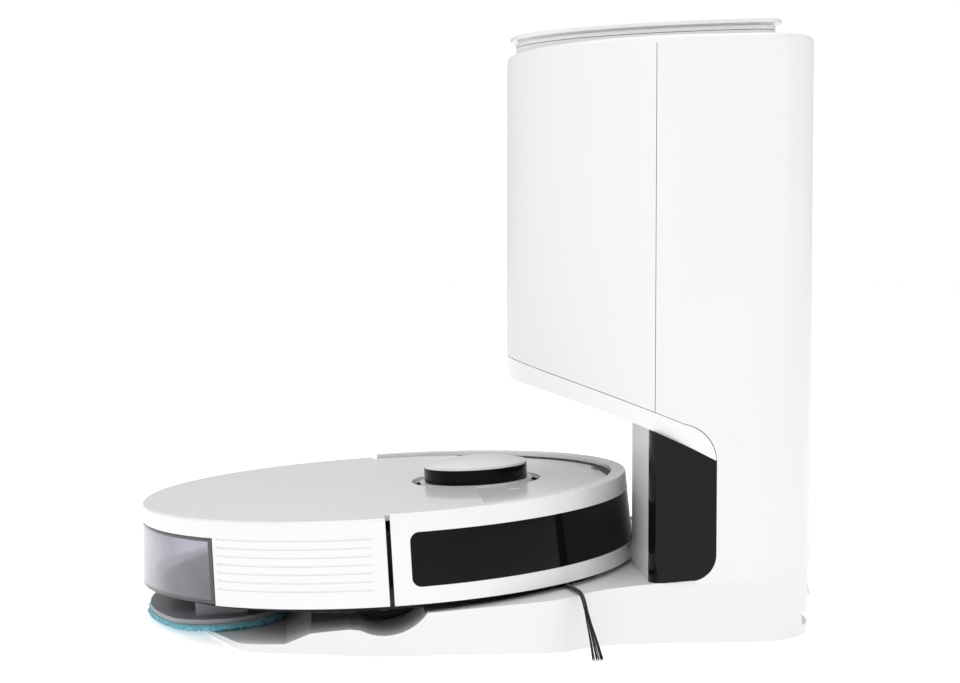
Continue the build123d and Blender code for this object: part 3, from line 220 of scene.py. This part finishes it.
# Tower.
# A front cover and a rear shell of satin ABS meet at an upright seam and are screwed together from behind.
# A glossier strip closes the overhang's underside, and a white wall, painted grey as painted shade, and a
# gloss black panel close the neck.
tower_white = moulded("tower_white", (0.85, 0.85, 0.855), (0.825, 0.825, 0.83), 2100, (0.3, 0.38), 0.000015)
gloss_white = moulded("gloss_white", (0.87, 0.87, 0.875), (0.85, 0.85, 0.86), 140, (0.08, 0.14), 0.000012,
                      coat=0.35)
gloss_black = moulded("gloss_black", (0.004, 0.004, 0.004), (0.007, 0.007, 0.007), 120, (0.05, 0.09), 0.00001,
                      specular=0.16)
screw_steel = moulded("screw_steel", (0.5, 0.5, 0.51), (0.4, 0.4, 0.42), 700, (0.25, 0.4), 0.00001, metal=1.0)
# The neck's front wall is white plastic, given a darker grey copy of satin white as painted shade.
neck_painted_shade = moulded("neck_painted_shade", (0.7, 0.7, 0.71), (0.66, 0.66, 0.68), 1900, (0.34, 0.44), 0.00002)
dress(tower_white, "front_cover", "rear_shell", "top_frame")
dress(gloss_white, "chin_strip", "lid")
dress(gloss_black, "neck_panel")
dress(neck_painted_shade, "neck_front")
dress(screw_steel, "tower_screws", "lid_pins")

# Dust path of the station.
# A grey polypropylene chamber and duct lead from the port under the robot to the bag's card plate.
# The suction fan, its board and the mains inlet sit behind them.
grey_poly = moulded("grey_poly", (0.3, 0.3, 0.315), (0.26, 0.26, 0.275), 1500, (0.42, 0.55), 0.00003)
black_poly = moulded("black_poly", (0.014, 0.014, 0.015), (0.02, 0.02, 0.021), 1600, (0.38, 0.5), 0.00003)
bag_board = moulded("bag_board", (0.72, 0.68, 0.6), (0.65, 0.61, 0.54), 700, (0.7, 0.85), 0.00005)
dress(grey_poly, "bag_chamber", "air_duct")
dress(bag_board, "bag_plate")
dress(black_poly, "station_fan", "power_inlet")


def board_material(name):
    """Green solder mask over copper tracks."""
    material, tree, shader = new_material(name)
    place = tree.nodes.new("ShaderNodeTexCoord")
    tracks = tree.nodes.new("ShaderNodeTexBrick")
    tracks.inputs["Scale"].default_value = 90
    tracks.inputs["Mortar Size"].default_value = 0.03
    tracks.inputs["Color1"].default_value = (0.008, 0.09, 0.035, 1)
    tracks.inputs["Color2"].default_value = (0.01, 0.12, 0.045, 1)
    tracks.inputs["Mortar"].default_value = (0.05, 0.22, 0.08, 1)
    bump = tree.nodes.new("ShaderNodeBump")
    bump.inputs["Strength"].default_value = 0.4
    bump.inputs["Distance"].default_value = 0.00005
    tree.links.new(place.outputs["Object"], tracks.inputs["Vector"])
    tree.links.new(tracks.outputs["Color"], shader.inputs["Base Color"])
    tree.links.new(tracks.outputs["Fac"], bump.inputs["Height"])
    tree.links.new(bump.outputs["Normal"], shader.inputs["Normal"])
    shader.inputs["Roughness"].default_value = 0.3
    return material


solder_mask = board_material("solder_mask")
dress(solder_mask, "station_board", "main_board")


# Dust bag.
# A pouch of layered fleece stands against its card plate in the chamber.
# It fills out and crumples a little as dust goes in.
def fibre_material(name, colour, deep, scale, depth, sheen):
    """Matted fibres: two crossed, stretched noises for colour and height."""
    material, tree, shader = new_material(name)
    place = tree.nodes.new("ShaderNodeTexCoord")
    mapping = tree.nodes.new("ShaderNodeMapping")
    mapping.inputs["Scale"].default_value = (1.0, 0.25, 1.0)
    fibres = tree.nodes.new("ShaderNodeTexNoise")
    fibres.inputs["Scale"].default_value = scale
    fibres.inputs["Detail"].default_value = 5
    cells = tree.nodes.new("ShaderNodeTexVoronoi")
    cells.inputs["Scale"].default_value = scale * 0.6
    blend = tree.nodes.new("ShaderNodeMix")
    blend.data_type = "RGBA"
    blend.inputs[6].default_value = (*deep, 1)
    blend.inputs[7].default_value = (*colour, 1)
    total = tree.nodes.new("ShaderNodeMath")
    total.operation = "ADD"
    bump = tree.nodes.new("ShaderNodeBump")
    bump.inputs["Strength"].default_value = 0.8
    bump.inputs["Distance"].default_value = depth
    tree.links.new(place.outputs["Object"], mapping.inputs["Vector"])
    tree.links.new(mapping.outputs["Vector"], fibres.inputs["Vector"])
    tree.links.new(place.outputs["Object"], cells.inputs["Vector"])
    tree.links.new(fibres.outputs["Fac"], total.inputs[0])
    tree.links.new(cells.outputs["Distance"], total.inputs[1])
    tree.links.new(total.outputs["Value"], bump.inputs["Height"])
    tree.links.new(total.outputs["Value"], blend.inputs[0])
    tree.links.new(blend.outputs[2], shader.inputs["Base Color"])
    tree.links.new(bump.outputs["Normal"], shader.inputs["Normal"])
    shader.inputs["Roughness"].default_value = 0.9
    shader.inputs["Sheen Weight"].default_value = sheen
    shader.inputs["Sheen Roughness"].default_value = 0.5
    return material


fleece = fibre_material("fleece", (0.74, 0.73, 0.7), (0.55, 0.54, 0.52), 900, 0.0001, 0.3)
bag_low, bag_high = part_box("dust_bag")
bag_middle = (bag_low + bag_high) / 2
bag_half = (bag_high - bag_low) / 2 - Vector((0.001, 0.001, 0.001))
bag_shape = bmesh.new()
bmesh.ops.create_cube(bag_shape, size=2)
bmesh.ops.subdivide_edges(bag_shape, edges=bag_shape.edges[:], cuts=23, use_grid_fill=True)
for corner in bag_shape.verts:
    unit = corner.co.copy()
    crown_x = 0.72 + 0.28 * (1 - unit.y ** 4) * (1 - unit.z ** 4)
    crown_y = 0.86 + 0.14 * (1 - unit.x ** 2) * (1 - unit.z ** 4)
    crown_z = 0.86 + 0.14 * (1 - unit.x ** 2) * (1 - unit.y ** 4)
    flat = Vector((unit.x * crown_x, unit.y * crown_y, unit.z * crown_z))
    crumple = 1 - 0.035 * (0.5 + 0.5 * noise.noise(unit * 2.6 + Vector((3, 1, 7))))
    corner.co = bag_middle + Vector((flat.x * bag_half.x, flat.y * bag_half.y, flat.z * bag_half.z)) * crumple
bag_mesh = bpy.data.meshes.new("bag_pouch")
bag_shape.to_mesh(bag_mesh)
bag_shape.free()
bag_mesh.materials.append(fleece)
bag_mesh.shade_smooth()
bag_pouch = new_object("bag_pouch", bag_mesh)
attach(bag_pouch, "station")
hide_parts("dust_bag")
dress(fleece, "dust_filter")

# Robot's body.
# A glossy ABS deck and skirt over a black ABS chassis, with a flap over the dust bin and its oval button.
# The hubs, castor fork and gearbox are grey plastic, and the motors, fan and rotor are black mouldings.
body_white = moulded("body_white", (0.86, 0.86, 0.865), (0.84, 0.84, 0.85), 130, (0.12, 0.2), 0.000012,
                     coat=0.25)
dress(body_white, "robot_shell", "flap", "power_button", "bumper", "turret_base", "turret_cap")
dress(black_poly, "chassis", "side_brush_motor_left", "side_brush_motor_right", "wheel_module_left",
      "wheel_module_right", "fan_unit", "lidar_rotor")
dress(grey_poly, "castor_fork", "brush_guard", "brush_gearbox", "side_brush_left", "side_brush_right",
      "drive_wheel_left", "drive_wheel_right")
dress(satin_white, "castor_wheel")
dress(screw_steel, "charge_pads")
cell_wrap = moulded("cell_wrap", (0.02, 0.06, 0.2), (0.015, 0.05, 0.17), 300, (0.22, 0.34), 0.00002)
dress(cell_wrap, "battery")

# Sensor windows.
# Smoked polycarbonate that passes infra-red, so it looks black from outside.
# It makes the bumper's long window, the turret's band and the floor sensors.
smoked_window = moulded("smoked_window", (0.004, 0.003, 0.0035), (0.006, 0.005, 0.006), 90, (0.04, 0.07),
                        0.00001, specular=0.12)
dress(smoked_window, "bumper_window", "turret_window", "cliff_sensors")


# Water tank and dust bin.
# Both are thin moulded shells of lightly smoked, clear polycarbonate.
# Their surface is smooth, and soft clouds in the tint are painted reflections over the real smoke tint.
def tinted_shell(name, tint, deep, clear):
    material, tree, shader = new_material(name)
    place = tree.nodes.new("ShaderNodeTexCoord")
    # Noise clouds between the two colours paint reflections into the shell's colour.
    reflection_cloud = tree.nodes.new("ShaderNodeTexNoise")
    reflection_cloud.inputs["Scale"].default_value = 26
    reflection_cloud.inputs["Detail"].default_value = 3
    mix = tree.nodes.new("ShaderNodeMix")
    mix.data_type = "RGBA"
    mix.inputs[6].default_value = (*deep, 1)
    mix.inputs[7].default_value = (*tint, 1)
    rough = tree.nodes.new("ShaderNodeMapRange")
    rough.inputs["To Min"].default_value = 0.03
    rough.inputs["To Max"].default_value = 0.12
    tree.links.new(place.outputs["Object"], reflection_cloud.inputs["Vector"])
    tree.links.new(reflection_cloud.outputs["Fac"], mix.inputs[0])
    tree.links.new(mix.outputs[2], shader.inputs["Base Color"])
    tree.links.new(reflection_cloud.outputs["Fac"], rough.inputs["Value"])
    tree.links.new(rough.outputs["Result"], shader.inputs["Roughness"])
    shader.inputs["Transmission Weight"].default_value = clear
    shader.inputs["IOR"].default_value = 1.45
    return material


tank_smoke = tinted_shell("tank_smoke", (0.9, 0.89, 0.95), (0.36, 0.36, 0.43), 0.9)
dress(tank_smoke, "water_tank", "dust_bin")
dress(foot_rubber, "tank_plug", "main_brush")


# Side brushes.
# Each hub carries three soft rubber arms, and each arm ends in a tuft of black nylon bristles.
# One arm of each lies over the base's edge and its tuft hangs down to the floor.
def tree_socket(tree, name, kind, value=None):
    socket = tree.interface.new_socket(name=name, in_out="INPUT", socket_type=kind)
    if value is not None:
        socket.default_value = value
    return socket


def made_plain(source, tree, values, name):
    """The evaluated result of a node tree on an object, as a plain mesh object. The source is removed."""
    maker = source.modifiers.new("maker", "NODES")
    maker.node_group = tree
    for item in tree.interface.items_tree:
        if item.item_type == "SOCKET" and item.in_out == "INPUT" and item.name in values:
            maker[item.identifier] = values[item.name]
    bpy.context.view_layer.update()
    evaluated = source.evaluated_get(bpy.context.evaluated_depsgraph_get())
    mesh = bpy.data.meshes.new_from_object(evaluated)
    bpy.data.objects.remove(source)
    return new_object(name, mesh)


tuft_tree = bpy.data.node_groups.new("bristle_tufts", "GeometryNodeTree")
tree_socket(tuft_tree, "Arms", "NodeSocketGeometry")
tree_socket(tuft_tree, "Bristles", "NodeSocketInt", 40)
tree_socket(tuft_tree, "Bristle Radius", "NodeSocketFloat", 0.00016)
tree_socket(tuft_tree, "Sleeve Radius", "NodeSocketFloat", 0.0016)
tree_socket(tuft_tree, "Sleeve End", "NodeSocketFloat", 0.6)
tree_socket(tuft_tree, "Spread", "NodeSocketVector", (0.0034, 0.0007, 0.001))
tree_socket(tuft_tree, "Nylon", "NodeSocketMaterial")
tree_socket(tuft_tree, "Rubber", "NodeSocketMaterial")
tuft_tree.interface.new_socket(name="Tufts", in_out="OUTPUT", socket_type="NodeSocketGeometry")
tuft_nodes = tuft_tree.nodes
tuft_links = tuft_tree.links
tuft_in = tuft_nodes.new("NodeGroupInput")
tuft_out = tuft_nodes.new("NodeGroupOutput")
tuft_copies = tuft_nodes.new("GeometryNodeDuplicateElements")
tuft_copies.domain = "SPLINE"
tuft_along = tuft_nodes.new("GeometryNodeSplineParameter")
tuft_grow = tuft_nodes.new("ShaderNodeMath")
tuft_grow.operation = "POWER"
tuft_grow.inputs[1].default_value = 2.5
tuft_random = tuft_nodes.new("FunctionNodeRandomValue")
tuft_random.data_type = "FLOAT_VECTOR"
tuft_random.inputs["Min"].default_value = (-1, -1, -1)
tuft_random.inputs["Max"].default_value = (1, 1, 1)
tuft_random.inputs["Seed"].default_value = 11
tuft_shift = tuft_nodes.new("ShaderNodeVectorMath")
tuft_shift.operation = "MULTIPLY"
tuft_scale = tuft_nodes.new("ShaderNodeVectorMath")
tuft_scale.operation = "SCALE"
tuft_move = tuft_nodes.new("GeometryNodeSetPosition")
tuft_round = tuft_nodes.new("GeometryNodeCurvePrimitiveCircle")
tuft_round.inputs["Resolution"].default_value = 3
tuft_bristle = tuft_nodes.new("GeometryNodeCurveToMesh")
tuft_bristle.inputs["Fill Caps"].default_value = True
tuft_nylon = tuft_nodes.new("GeometryNodeSetMaterial")
tuft_trim = tuft_nodes.new("GeometryNodeTrimCurve")
tuft_sleeve_round = tuft_nodes.new("GeometryNodeCurvePrimitiveCircle")
tuft_sleeve_round.inputs["Resolution"].default_value = 12
tuft_sleeve = tuft_nodes.new("GeometryNodeCurveToMesh")
tuft_sleeve.inputs["Fill Caps"].default_value = True
tuft_rubber = tuft_nodes.new("GeometryNodeSetMaterial")
tuft_join = tuft_nodes.new("GeometryNodeJoinGeometry")
tuft_real = tuft_nodes.new("GeometryNodeRealizeInstances")
tuft_links.new(tuft_in.outputs["Arms"], tuft_copies.inputs["Geometry"])
tuft_links.new(tuft_in.outputs["Bristles"], tuft_copies.inputs["Amount"])
tuft_links.new(tuft_copies.outputs["Duplicate Index"], tuft_random.inputs["ID"])
tuft_links.new(tuft_along.outputs["Factor"], tuft_grow.inputs[0])
tuft_links.new(tuft_random.outputs["Value"], tuft_shift.inputs[0])
tuft_links.new(tuft_in.outputs["Spread"], tuft_shift.inputs[1])
tuft_links.new(tuft_shift.outputs["Vector"], tuft_scale.inputs[0])
tuft_links.new(tuft_grow.outputs["Value"], tuft_scale.inputs["Scale"])
tuft_links.new(tuft_copies.outputs["Geometry"], tuft_move.inputs["Geometry"])
tuft_links.new(tuft_scale.outputs["Vector"], tuft_move.inputs["Offset"])
tuft_links.new(tuft_in.outputs["Bristle Radius"], tuft_round.inputs["Radius"])
tuft_links.new(tuft_move.outputs["Geometry"], tuft_bristle.inputs["Curve"])
tuft_links.new(tuft_round.outputs["Curve"], tuft_bristle.inputs["Profile Curve"])
tuft_links.new(tuft_bristle.outputs["Mesh"], tuft_nylon.inputs["Geometry"])
tuft_links.new(tuft_in.outputs["Nylon"], tuft_nylon.inputs["Material"])
tuft_links.new(tuft_in.outputs["Arms"], tuft_trim.inputs["Curve"])
tuft_links.new(tuft_in.outputs["Sleeve End"], tuft_trim.inputs[3])
tuft_links.new(tuft_in.outputs["Sleeve Radius"], tuft_sleeve_round.inputs["Radius"])
tuft_links.new(tuft_trim.outputs["Curve"], tuft_sleeve.inputs["Curve"])
tuft_links.new(tuft_sleeve_round.outputs["Curve"], tuft_sleeve.inputs["Profile Curve"])
tuft_links.new(tuft_sleeve.outputs["Mesh"], tuft_rubber.inputs["Geometry"])
tuft_links.new(tuft_in.outputs["Rubber"], tuft_rubber.inputs["Material"])
tuft_links.new(tuft_rubber.outputs["Geometry"], tuft_join.inputs["Geometry"])
tuft_links.new(tuft_nylon.outputs["Geometry"], tuft_join.inputs["Geometry"])
tuft_links.new(tuft_join.outputs["Geometry"], tuft_real.inputs["Geometry"])
tuft_links.new(tuft_real.outputs["Geometry"], tuft_out.inputs["Tufts"])

nylon = moulded("nylon", (0.012, 0.012, 0.013), (0.02, 0.02, 0.02), 900, (0.3, 0.45), 0.00001)
arm_rubber = moulded("arm_rubber", (0.016, 0.016, 0.017), (0.025, 0.025, 0.025), 1100, (0.5, 0.65), 0.00003)
tuft_clearance = 0.0005
for hand, side in (("left", 1), ("right", -1)):
    hub_low, hub_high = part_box(f"side_brush_{hand}")
    hub = (hub_low + hub_high) / 2
    tip = Vector((0.0662, side * 0.1992, 0.0016))
    run = Vector((tip.x, tip.y, 0)) - Vector((hub.x, hub.y, 0))
    length = run.length
    run.normalize()
    over_edge = [Vector((hub.x, hub.y, 0)) + run * reach + Vector((0, 0, height)) for reach, height in (
        (0.009, 0.0335), (0.016, 0.0368), (0.032, 0.0374), (0.048, 0.0377), (0.056, 0.0375), (0.0625, 0.0345),
        (0.069, 0.0275), (0.075, 0.0205), (0.085, 0.011), (length, tip.z))]
    forward = [hub + Vector((0.0085, -side * 0.0066, 0.0)), Vector((0.07, side * 0.0920, 0.0334)),
               Vector((0.0848, side * 0.0803, 0.0341))]
    inward = [hub + Vector((-0.0095, -side * 0.0038, -0.002)), Vector((0.02, side * 0.0962, 0.0304)),
              Vector((-0.0110, side * 0.0835, 0.0288))]
    guides = bpy.data.curves.new(f"brush_guides_{hand}", "CURVE")
    guides.dimensions = "3D"
    for path in (over_edge, forward, inward):
        spline = guides.splines.new("NURBS")
        spline.points.add(len(path) - 1)
        for point, place in zip(spline.points, path):
            point.co = (*place, 1)
        spline.order_u = 3
        spline.use_endpoint_u = True
        spline.resolution_u = 4
    guide = new_object(f"brush_guide_{hand}", guides)
    tufts = made_plain(guide, tuft_tree, {
        "Bristles": 46, "Bristle Radius": 0.00017, "Sleeve Radius": 0.0014, "Sleeve End": 0.62,
        "Spread": (0.0034, 0.0008, 0.0009), "Nylon": nylon, "Rubber": arm_rubber}, f"brush_tufts_{hand}")
    for corner in tufts.data.vertices:
        corner.co.z = max(corner.co.z, tuft_clearance)
    tufts.data.shade_smooth()
    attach(tufts, f"side_brush_{hand}")
    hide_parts(f"side_bristles_{hand}")


# Tyres.
# Moulded rubber rings are stretched over the wheels' hubs.
# A row of straight cross lugs round each one bites on carpet.
tread_tree = bpy.data.node_groups.new("tread_lugs", "GeometryNodeTree")
tree_socket(tread_tree, "Ring", "NodeSocketGeometry")
tree_socket(tread_tree, "Lugs", "NodeSocketInt", 40)
tree_socket(tread_tree, "Radius", "NodeSocketFloat", 0.032)
tree_socket(tread_tree, "Lug Size", "NodeSocketVector", (0.001, 0.0022, 0.024))
tree_socket(tread_tree, "Centre", "NodeSocketVector", (0, 0, 0))
tree_socket(tread_tree, "Rubber", "NodeSocketMaterial")
tread_tree.interface.new_socket(name="Tyre", in_out="OUTPUT", socket_type="NodeSocketGeometry")
tread_nodes = tread_tree.nodes
tread_links = tread_tree.links
tread_in = tread_nodes.new("NodeGroupInput")
tread_out = tread_nodes.new("NodeGroupOutput")
tread_circle = tread_nodes.new("GeometryNodeMeshCircle")
tread_where = tread_nodes.new("GeometryNodeInputPosition")
tread_turn = tread_nodes.new("FunctionNodeAlignRotationToVector")
tread_turn.axis = "X"
tread_lug = tread_nodes.new("GeometryNodeMeshCube")
tread_place = tread_nodes.new("GeometryNodeInstanceOnPoints")
tread_lay = tread_nodes.new("GeometryNodeTransform")
tread_lay.inputs["Rotation"].default_value = (math.pi / 2, 0, 0)
tread_join = tread_nodes.new("GeometryNodeJoinGeometry")
tread_real = tread_nodes.new("GeometryNodeRealizeInstances")
tread_paint = tread_nodes.new("GeometryNodeSetMaterial")
tread_links.new(tread_in.outputs["Lugs"], tread_circle.inputs["Vertices"])
tread_links.new(tread_in.outputs["Radius"], tread_circle.inputs["Radius"])
tread_links.new(tread_circle.outputs["Mesh"], tread_place.inputs["Points"])
tread_links.new(tread_in.outputs["Lug Size"], tread_lug.inputs["Size"])
tread_links.new(tread_lug.outputs["Mesh"], tread_place.inputs["Instance"])
tread_links.new(tread_where.outputs["Position"], tread_turn.inputs["Vector"])
tread_links.new(tread_turn.outputs["Rotation"], tread_place.inputs["Rotation"])
tread_links.new(tread_place.outputs["Instances"], tread_lay.inputs["Geometry"])
tread_links.new(tread_in.outputs["Centre"], tread_lay.inputs["Translation"])
tread_links.new(tread_in.outputs["Ring"], tread_join.inputs["Geometry"])
tread_links.new(tread_lay.outputs["Geometry"], tread_join.inputs["Geometry"])
tread_links.new(tread_join.outputs["Geometry"], tread_real.inputs["Geometry"])
tread_links.new(tread_real.outputs["Geometry"], tread_paint.inputs["Geometry"])
tread_links.new(tread_in.outputs["Rubber"], tread_paint.inputs["Material"])
tread_links.new(tread_paint.outputs["Geometry"], tread_out.inputs["Tyre"])

tyre_rubber = moulded("tyre_rubber", (0.022, 0.022, 0.023), (0.034, 0.033, 0.032), 1000, (0.65, 0.82),
                      0.00004)
ring_steps = 96
ring_profile = [(0.0271, -0.0129), (0.0312, -0.0129), (0.0320, -0.0120), (0.0320, 0.0120), (0.0312, 0.0129),
                (0.0271, 0.0129)]
for hand in ("left", "right"):
    tyre_low, tyre_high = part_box(f"tyre_{hand}")
    axle = (tyre_low + tyre_high) / 2
    corners = []
    faces = []
    for step in range(ring_steps):
        turn = 2 * math.pi * step / ring_steps
        for radius, across in ring_profile:
            corners.append(axle + Vector((radius * math.cos(turn), across, radius * math.sin(turn))))
    count = len(ring_profile)
    for step in range(ring_steps):
        here = step * count
        after = (step + 1) % ring_steps * count
        for k in range(count):
            faces.append((here + k, here + (k + 1) % count, after + (k + 1) % count, after + k))
    ring_mesh = bpy.data.meshes.new(f"tyre_ring_{hand}")
    ring_mesh.from_pydata(corners, [], faces)
    ring_mesh.update()
    tidy = bmesh.new()
    tidy.from_mesh(ring_mesh)
    bmesh.ops.recalc_face_normals(tidy, faces=tidy.faces)
    tidy.to_mesh(ring_mesh)
    tidy.free()
    ring = new_object(f"tyre_ring_{hand}", ring_mesh)
    tread = made_plain(ring, tread_tree, {
        "Lugs": 42, "Radius": 0.0320, "Lug Size": (0.0018, 0.0024, 0.0236), "Centre": tuple(axle),
        "Rubber": tyre_rubber}, f"tyre_tread_{hand}")
    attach(tread, f"drive_{hand}")
    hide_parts(f"tyre_{hand}")


# Mop plate and pad.
# The plate is a grey polypropylene half-moon clipped under the tank.
# The pad is teal microfibre with a looped pile, hook-and-loop backed, with its edge rolled round and sewn.
nose_up = math.radians(3.2)
parked_x = -0.058775
parked_height = 0.033
pad_radius = 173.5
pad_front = -76
pad_corner = 40


def docked_point(x, y, z):
    """Millimetres in the robot's own frame to metres in the shared one, where it is parked nose up."""
    forward_mm = x * math.cos(nose_up) - z * math.sin(nose_up)
    up_mm = x * math.sin(nose_up) + z * math.cos(nose_up)
    return Vector((parked_x + forward_mm / 1000, y / 1000, parked_height + up_mm / 1000))


def half_moon(inset, level):
    """One closed ring of the pad's outline, drawn in by inset, in the robot's own frame."""
    outer = pad_radius - inset
    front = pad_front - inset
    corner = max(pad_corner - inset, 12)
    reach = outer - corner
    corner_y = math.sqrt(reach ** 2 - (front - corner) ** 2)
    meet = math.atan2(corner_y, front - corner)
    points = []
    for k in range(24):
        points.append((front, -corner_y + 2 * corner_y * k / 24))
    for k in range(24):
        turn = meet * k / 24
        points.append((front - corner + corner * math.cos(turn), corner_y + corner * math.sin(turn)))
    for k in range(48):
        turn = meet + (2 * math.pi - 2 * meet) * k / 48
        points.append((outer * math.cos(turn), outer * math.sin(turn)))
    for k in range(24):
        turn = -meet + meet * k / 24
        points.append((front - corner + corner * math.cos(turn), -corner_y + corner * math.sin(turn)))
    return [docked_point(x, y, level) for x, y in points]


mop_teal = fibre_material("mop_teal", (0.16, 0.5, 0.6), (0.04, 0.22, 0.3), 700, 0.0004, 0.6)
pad_rings = [(34, -18.4), (16, -18.3), (7, -18.25), (2.6, -18.3), (0.9, -18.7), (0.2, -19.5), (0.2, -20.3),
             (0.9, -21.0), (2.6, -21.35), (7, -21.2), (9, -20.9), (11, -21.25), (22, -21.45), (34, -21.45)]
pad_corners = []
pad_faces = []
ring_count = 120
for inset, level in pad_rings:
    pad_corners.extend(half_moon(inset, level))
for row in range(len(pad_rings) - 1):
    for k in range(ring_count):
        pad_faces.append((row * ring_count + k, row * ring_count + (k + 1) % ring_count,
                          (row + 1) * ring_count + (k + 1) % ring_count, (row + 1) * ring_count + k))
pad_faces.append(tuple(range(ring_count)))
pad_faces.append(tuple(range((len(pad_rings) - 1) * ring_count, len(pad_rings) * ring_count))[::-1])
pad_mesh = bpy.data.meshes.new("mop_body")
pad_mesh.from_pydata(pad_corners, [], pad_faces)
pad_shape = bmesh.new()
pad_shape.from_mesh(pad_mesh)
bmesh.ops.recalc_face_normals(pad_shape, faces=pad_shape.faces)
for corner in pad_shape.verts:
    corner.co.z += 0.0002 * noise.noise(corner.co * 90)
pad_shape.to_mesh(pad_mesh)
pad_shape.free()

pile_tree = bpy.data.node_groups.new("looped_pile", "GeometryNodeTree")
tree_socket(pile_tree, "Cloth", "NodeSocketGeometry")
tree_socket(pile_tree, "Density", "NodeSocketFloat", 200000)
tree_socket(pile_tree, "Loop Length", "NodeSocketFloat", 0.0016)
tree_socket(pile_tree, "Yarn", "NodeSocketMaterial")
pile_tree.interface.new_socket(name="Pad", in_out="OUTPUT", socket_type="NodeSocketGeometry")
pile_nodes = pile_tree.nodes
pile_links = pile_tree.links
pile_in = pile_nodes.new("NodeGroupInput")
pile_out = pile_nodes.new("NodeGroupOutput")
pile_spots = pile_nodes.new("GeometryNodeDistributePointsOnFaces")
pile_spots.inputs["Seed"].default_value = 4
pile_normal = pile_nodes.new("GeometryNodeInputNormal")
pile_split = pile_nodes.new("ShaderNodeSeparateXYZ")
pile_under = pile_nodes.new("FunctionNodeCompare")
pile_under.operation = "LESS_THAN"
pile_under.inputs["B"].default_value = 0.35
pile_loop = pile_nodes.new("GeometryNodeMeshCone")
pile_loop.inputs["Vertices"].default_value = 4
pile_loop.inputs["Radius Top"].default_value = 0.0002
pile_loop.inputs["Radius Bottom"].default_value = 0.0005
pile_place = pile_nodes.new("GeometryNodeInstanceOnPoints")
pile_jitter = pile_nodes.new("FunctionNodeRandomValue")
pile_jitter.data_type = "FLOAT_VECTOR"
pile_jitter.inputs["Min"].default_value = (-0.5, -0.5, -3)
pile_jitter.inputs["Max"].default_value = (0.5, 0.5, 3)
pile_jitter.inputs["Seed"].default_value = 9
pile_lean = pile_nodes.new("GeometryNodeRotateInstances")
pile_join = pile_nodes.new("GeometryNodeJoinGeometry")
pile_real = pile_nodes.new("GeometryNodeRealizeInstances")
pile_paint = pile_nodes.new("GeometryNodeSetMaterial")
pile_links.new(pile_in.outputs["Cloth"], pile_spots.inputs["Mesh"])
pile_links.new(pile_in.outputs["Density"], pile_spots.inputs["Density"])
pile_links.new(pile_normal.outputs["Normal"], pile_split.inputs["Vector"])
pile_links.new(pile_split.outputs["Z"], pile_under.inputs["A"])
pile_links.new(pile_under.outputs["Result"], pile_spots.inputs["Selection"])
pile_links.new(pile_in.outputs["Loop Length"], pile_loop.inputs["Depth"])
pile_links.new(pile_loop.outputs["Mesh"], pile_place.inputs["Instance"])
pile_links.new(pile_spots.outputs["Points"], pile_place.inputs["Points"])
pile_links.new(pile_spots.outputs["Rotation"], pile_place.inputs["Rotation"])
pile_links.new(pile_place.outputs["Instances"], pile_lean.inputs["Instances"])
pile_links.new(pile_jitter.outputs["Value"], pile_lean.inputs["Rotation"])
pile_links.new(pile_in.outputs["Cloth"], pile_join.inputs["Geometry"])
pile_links.new(pile_lean.outputs["Instances"], pile_join.inputs["Geometry"])
pile_links.new(pile_join.outputs["Geometry"], pile_real.inputs["Geometry"])
pile_links.new(pile_real.outputs["Geometry"], pile_paint.inputs["Geometry"])
pile_links.new(pile_in.outputs["Yarn"], pile_paint.inputs["Material"])
pile_links.new(pile_paint.outputs["Geometry"], pile_out.inputs["Pad"])
mop_base = new_object("mop_base", pad_mesh)
mop_cushion = made_plain(mop_base, pile_tree, {"Density": 420000.0, "Loop Length": 0.0013, "Yarn": mop_teal},
                         "mop_cushion")
pile_clearance = 0.0003
for corner in mop_cushion.data.vertices:
    corner.co.z = max(corner.co.z, pile_clearance)
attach(mop_cushion, "mop")
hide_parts("mop_pad")
mop_grey = moulded("mop_grey", (0.36, 0.36, 0.39), (0.32, 0.32, 0.35), 1500, (0.35, 0.5), 0.00003)
dress(mop_grey, "mop_plate")
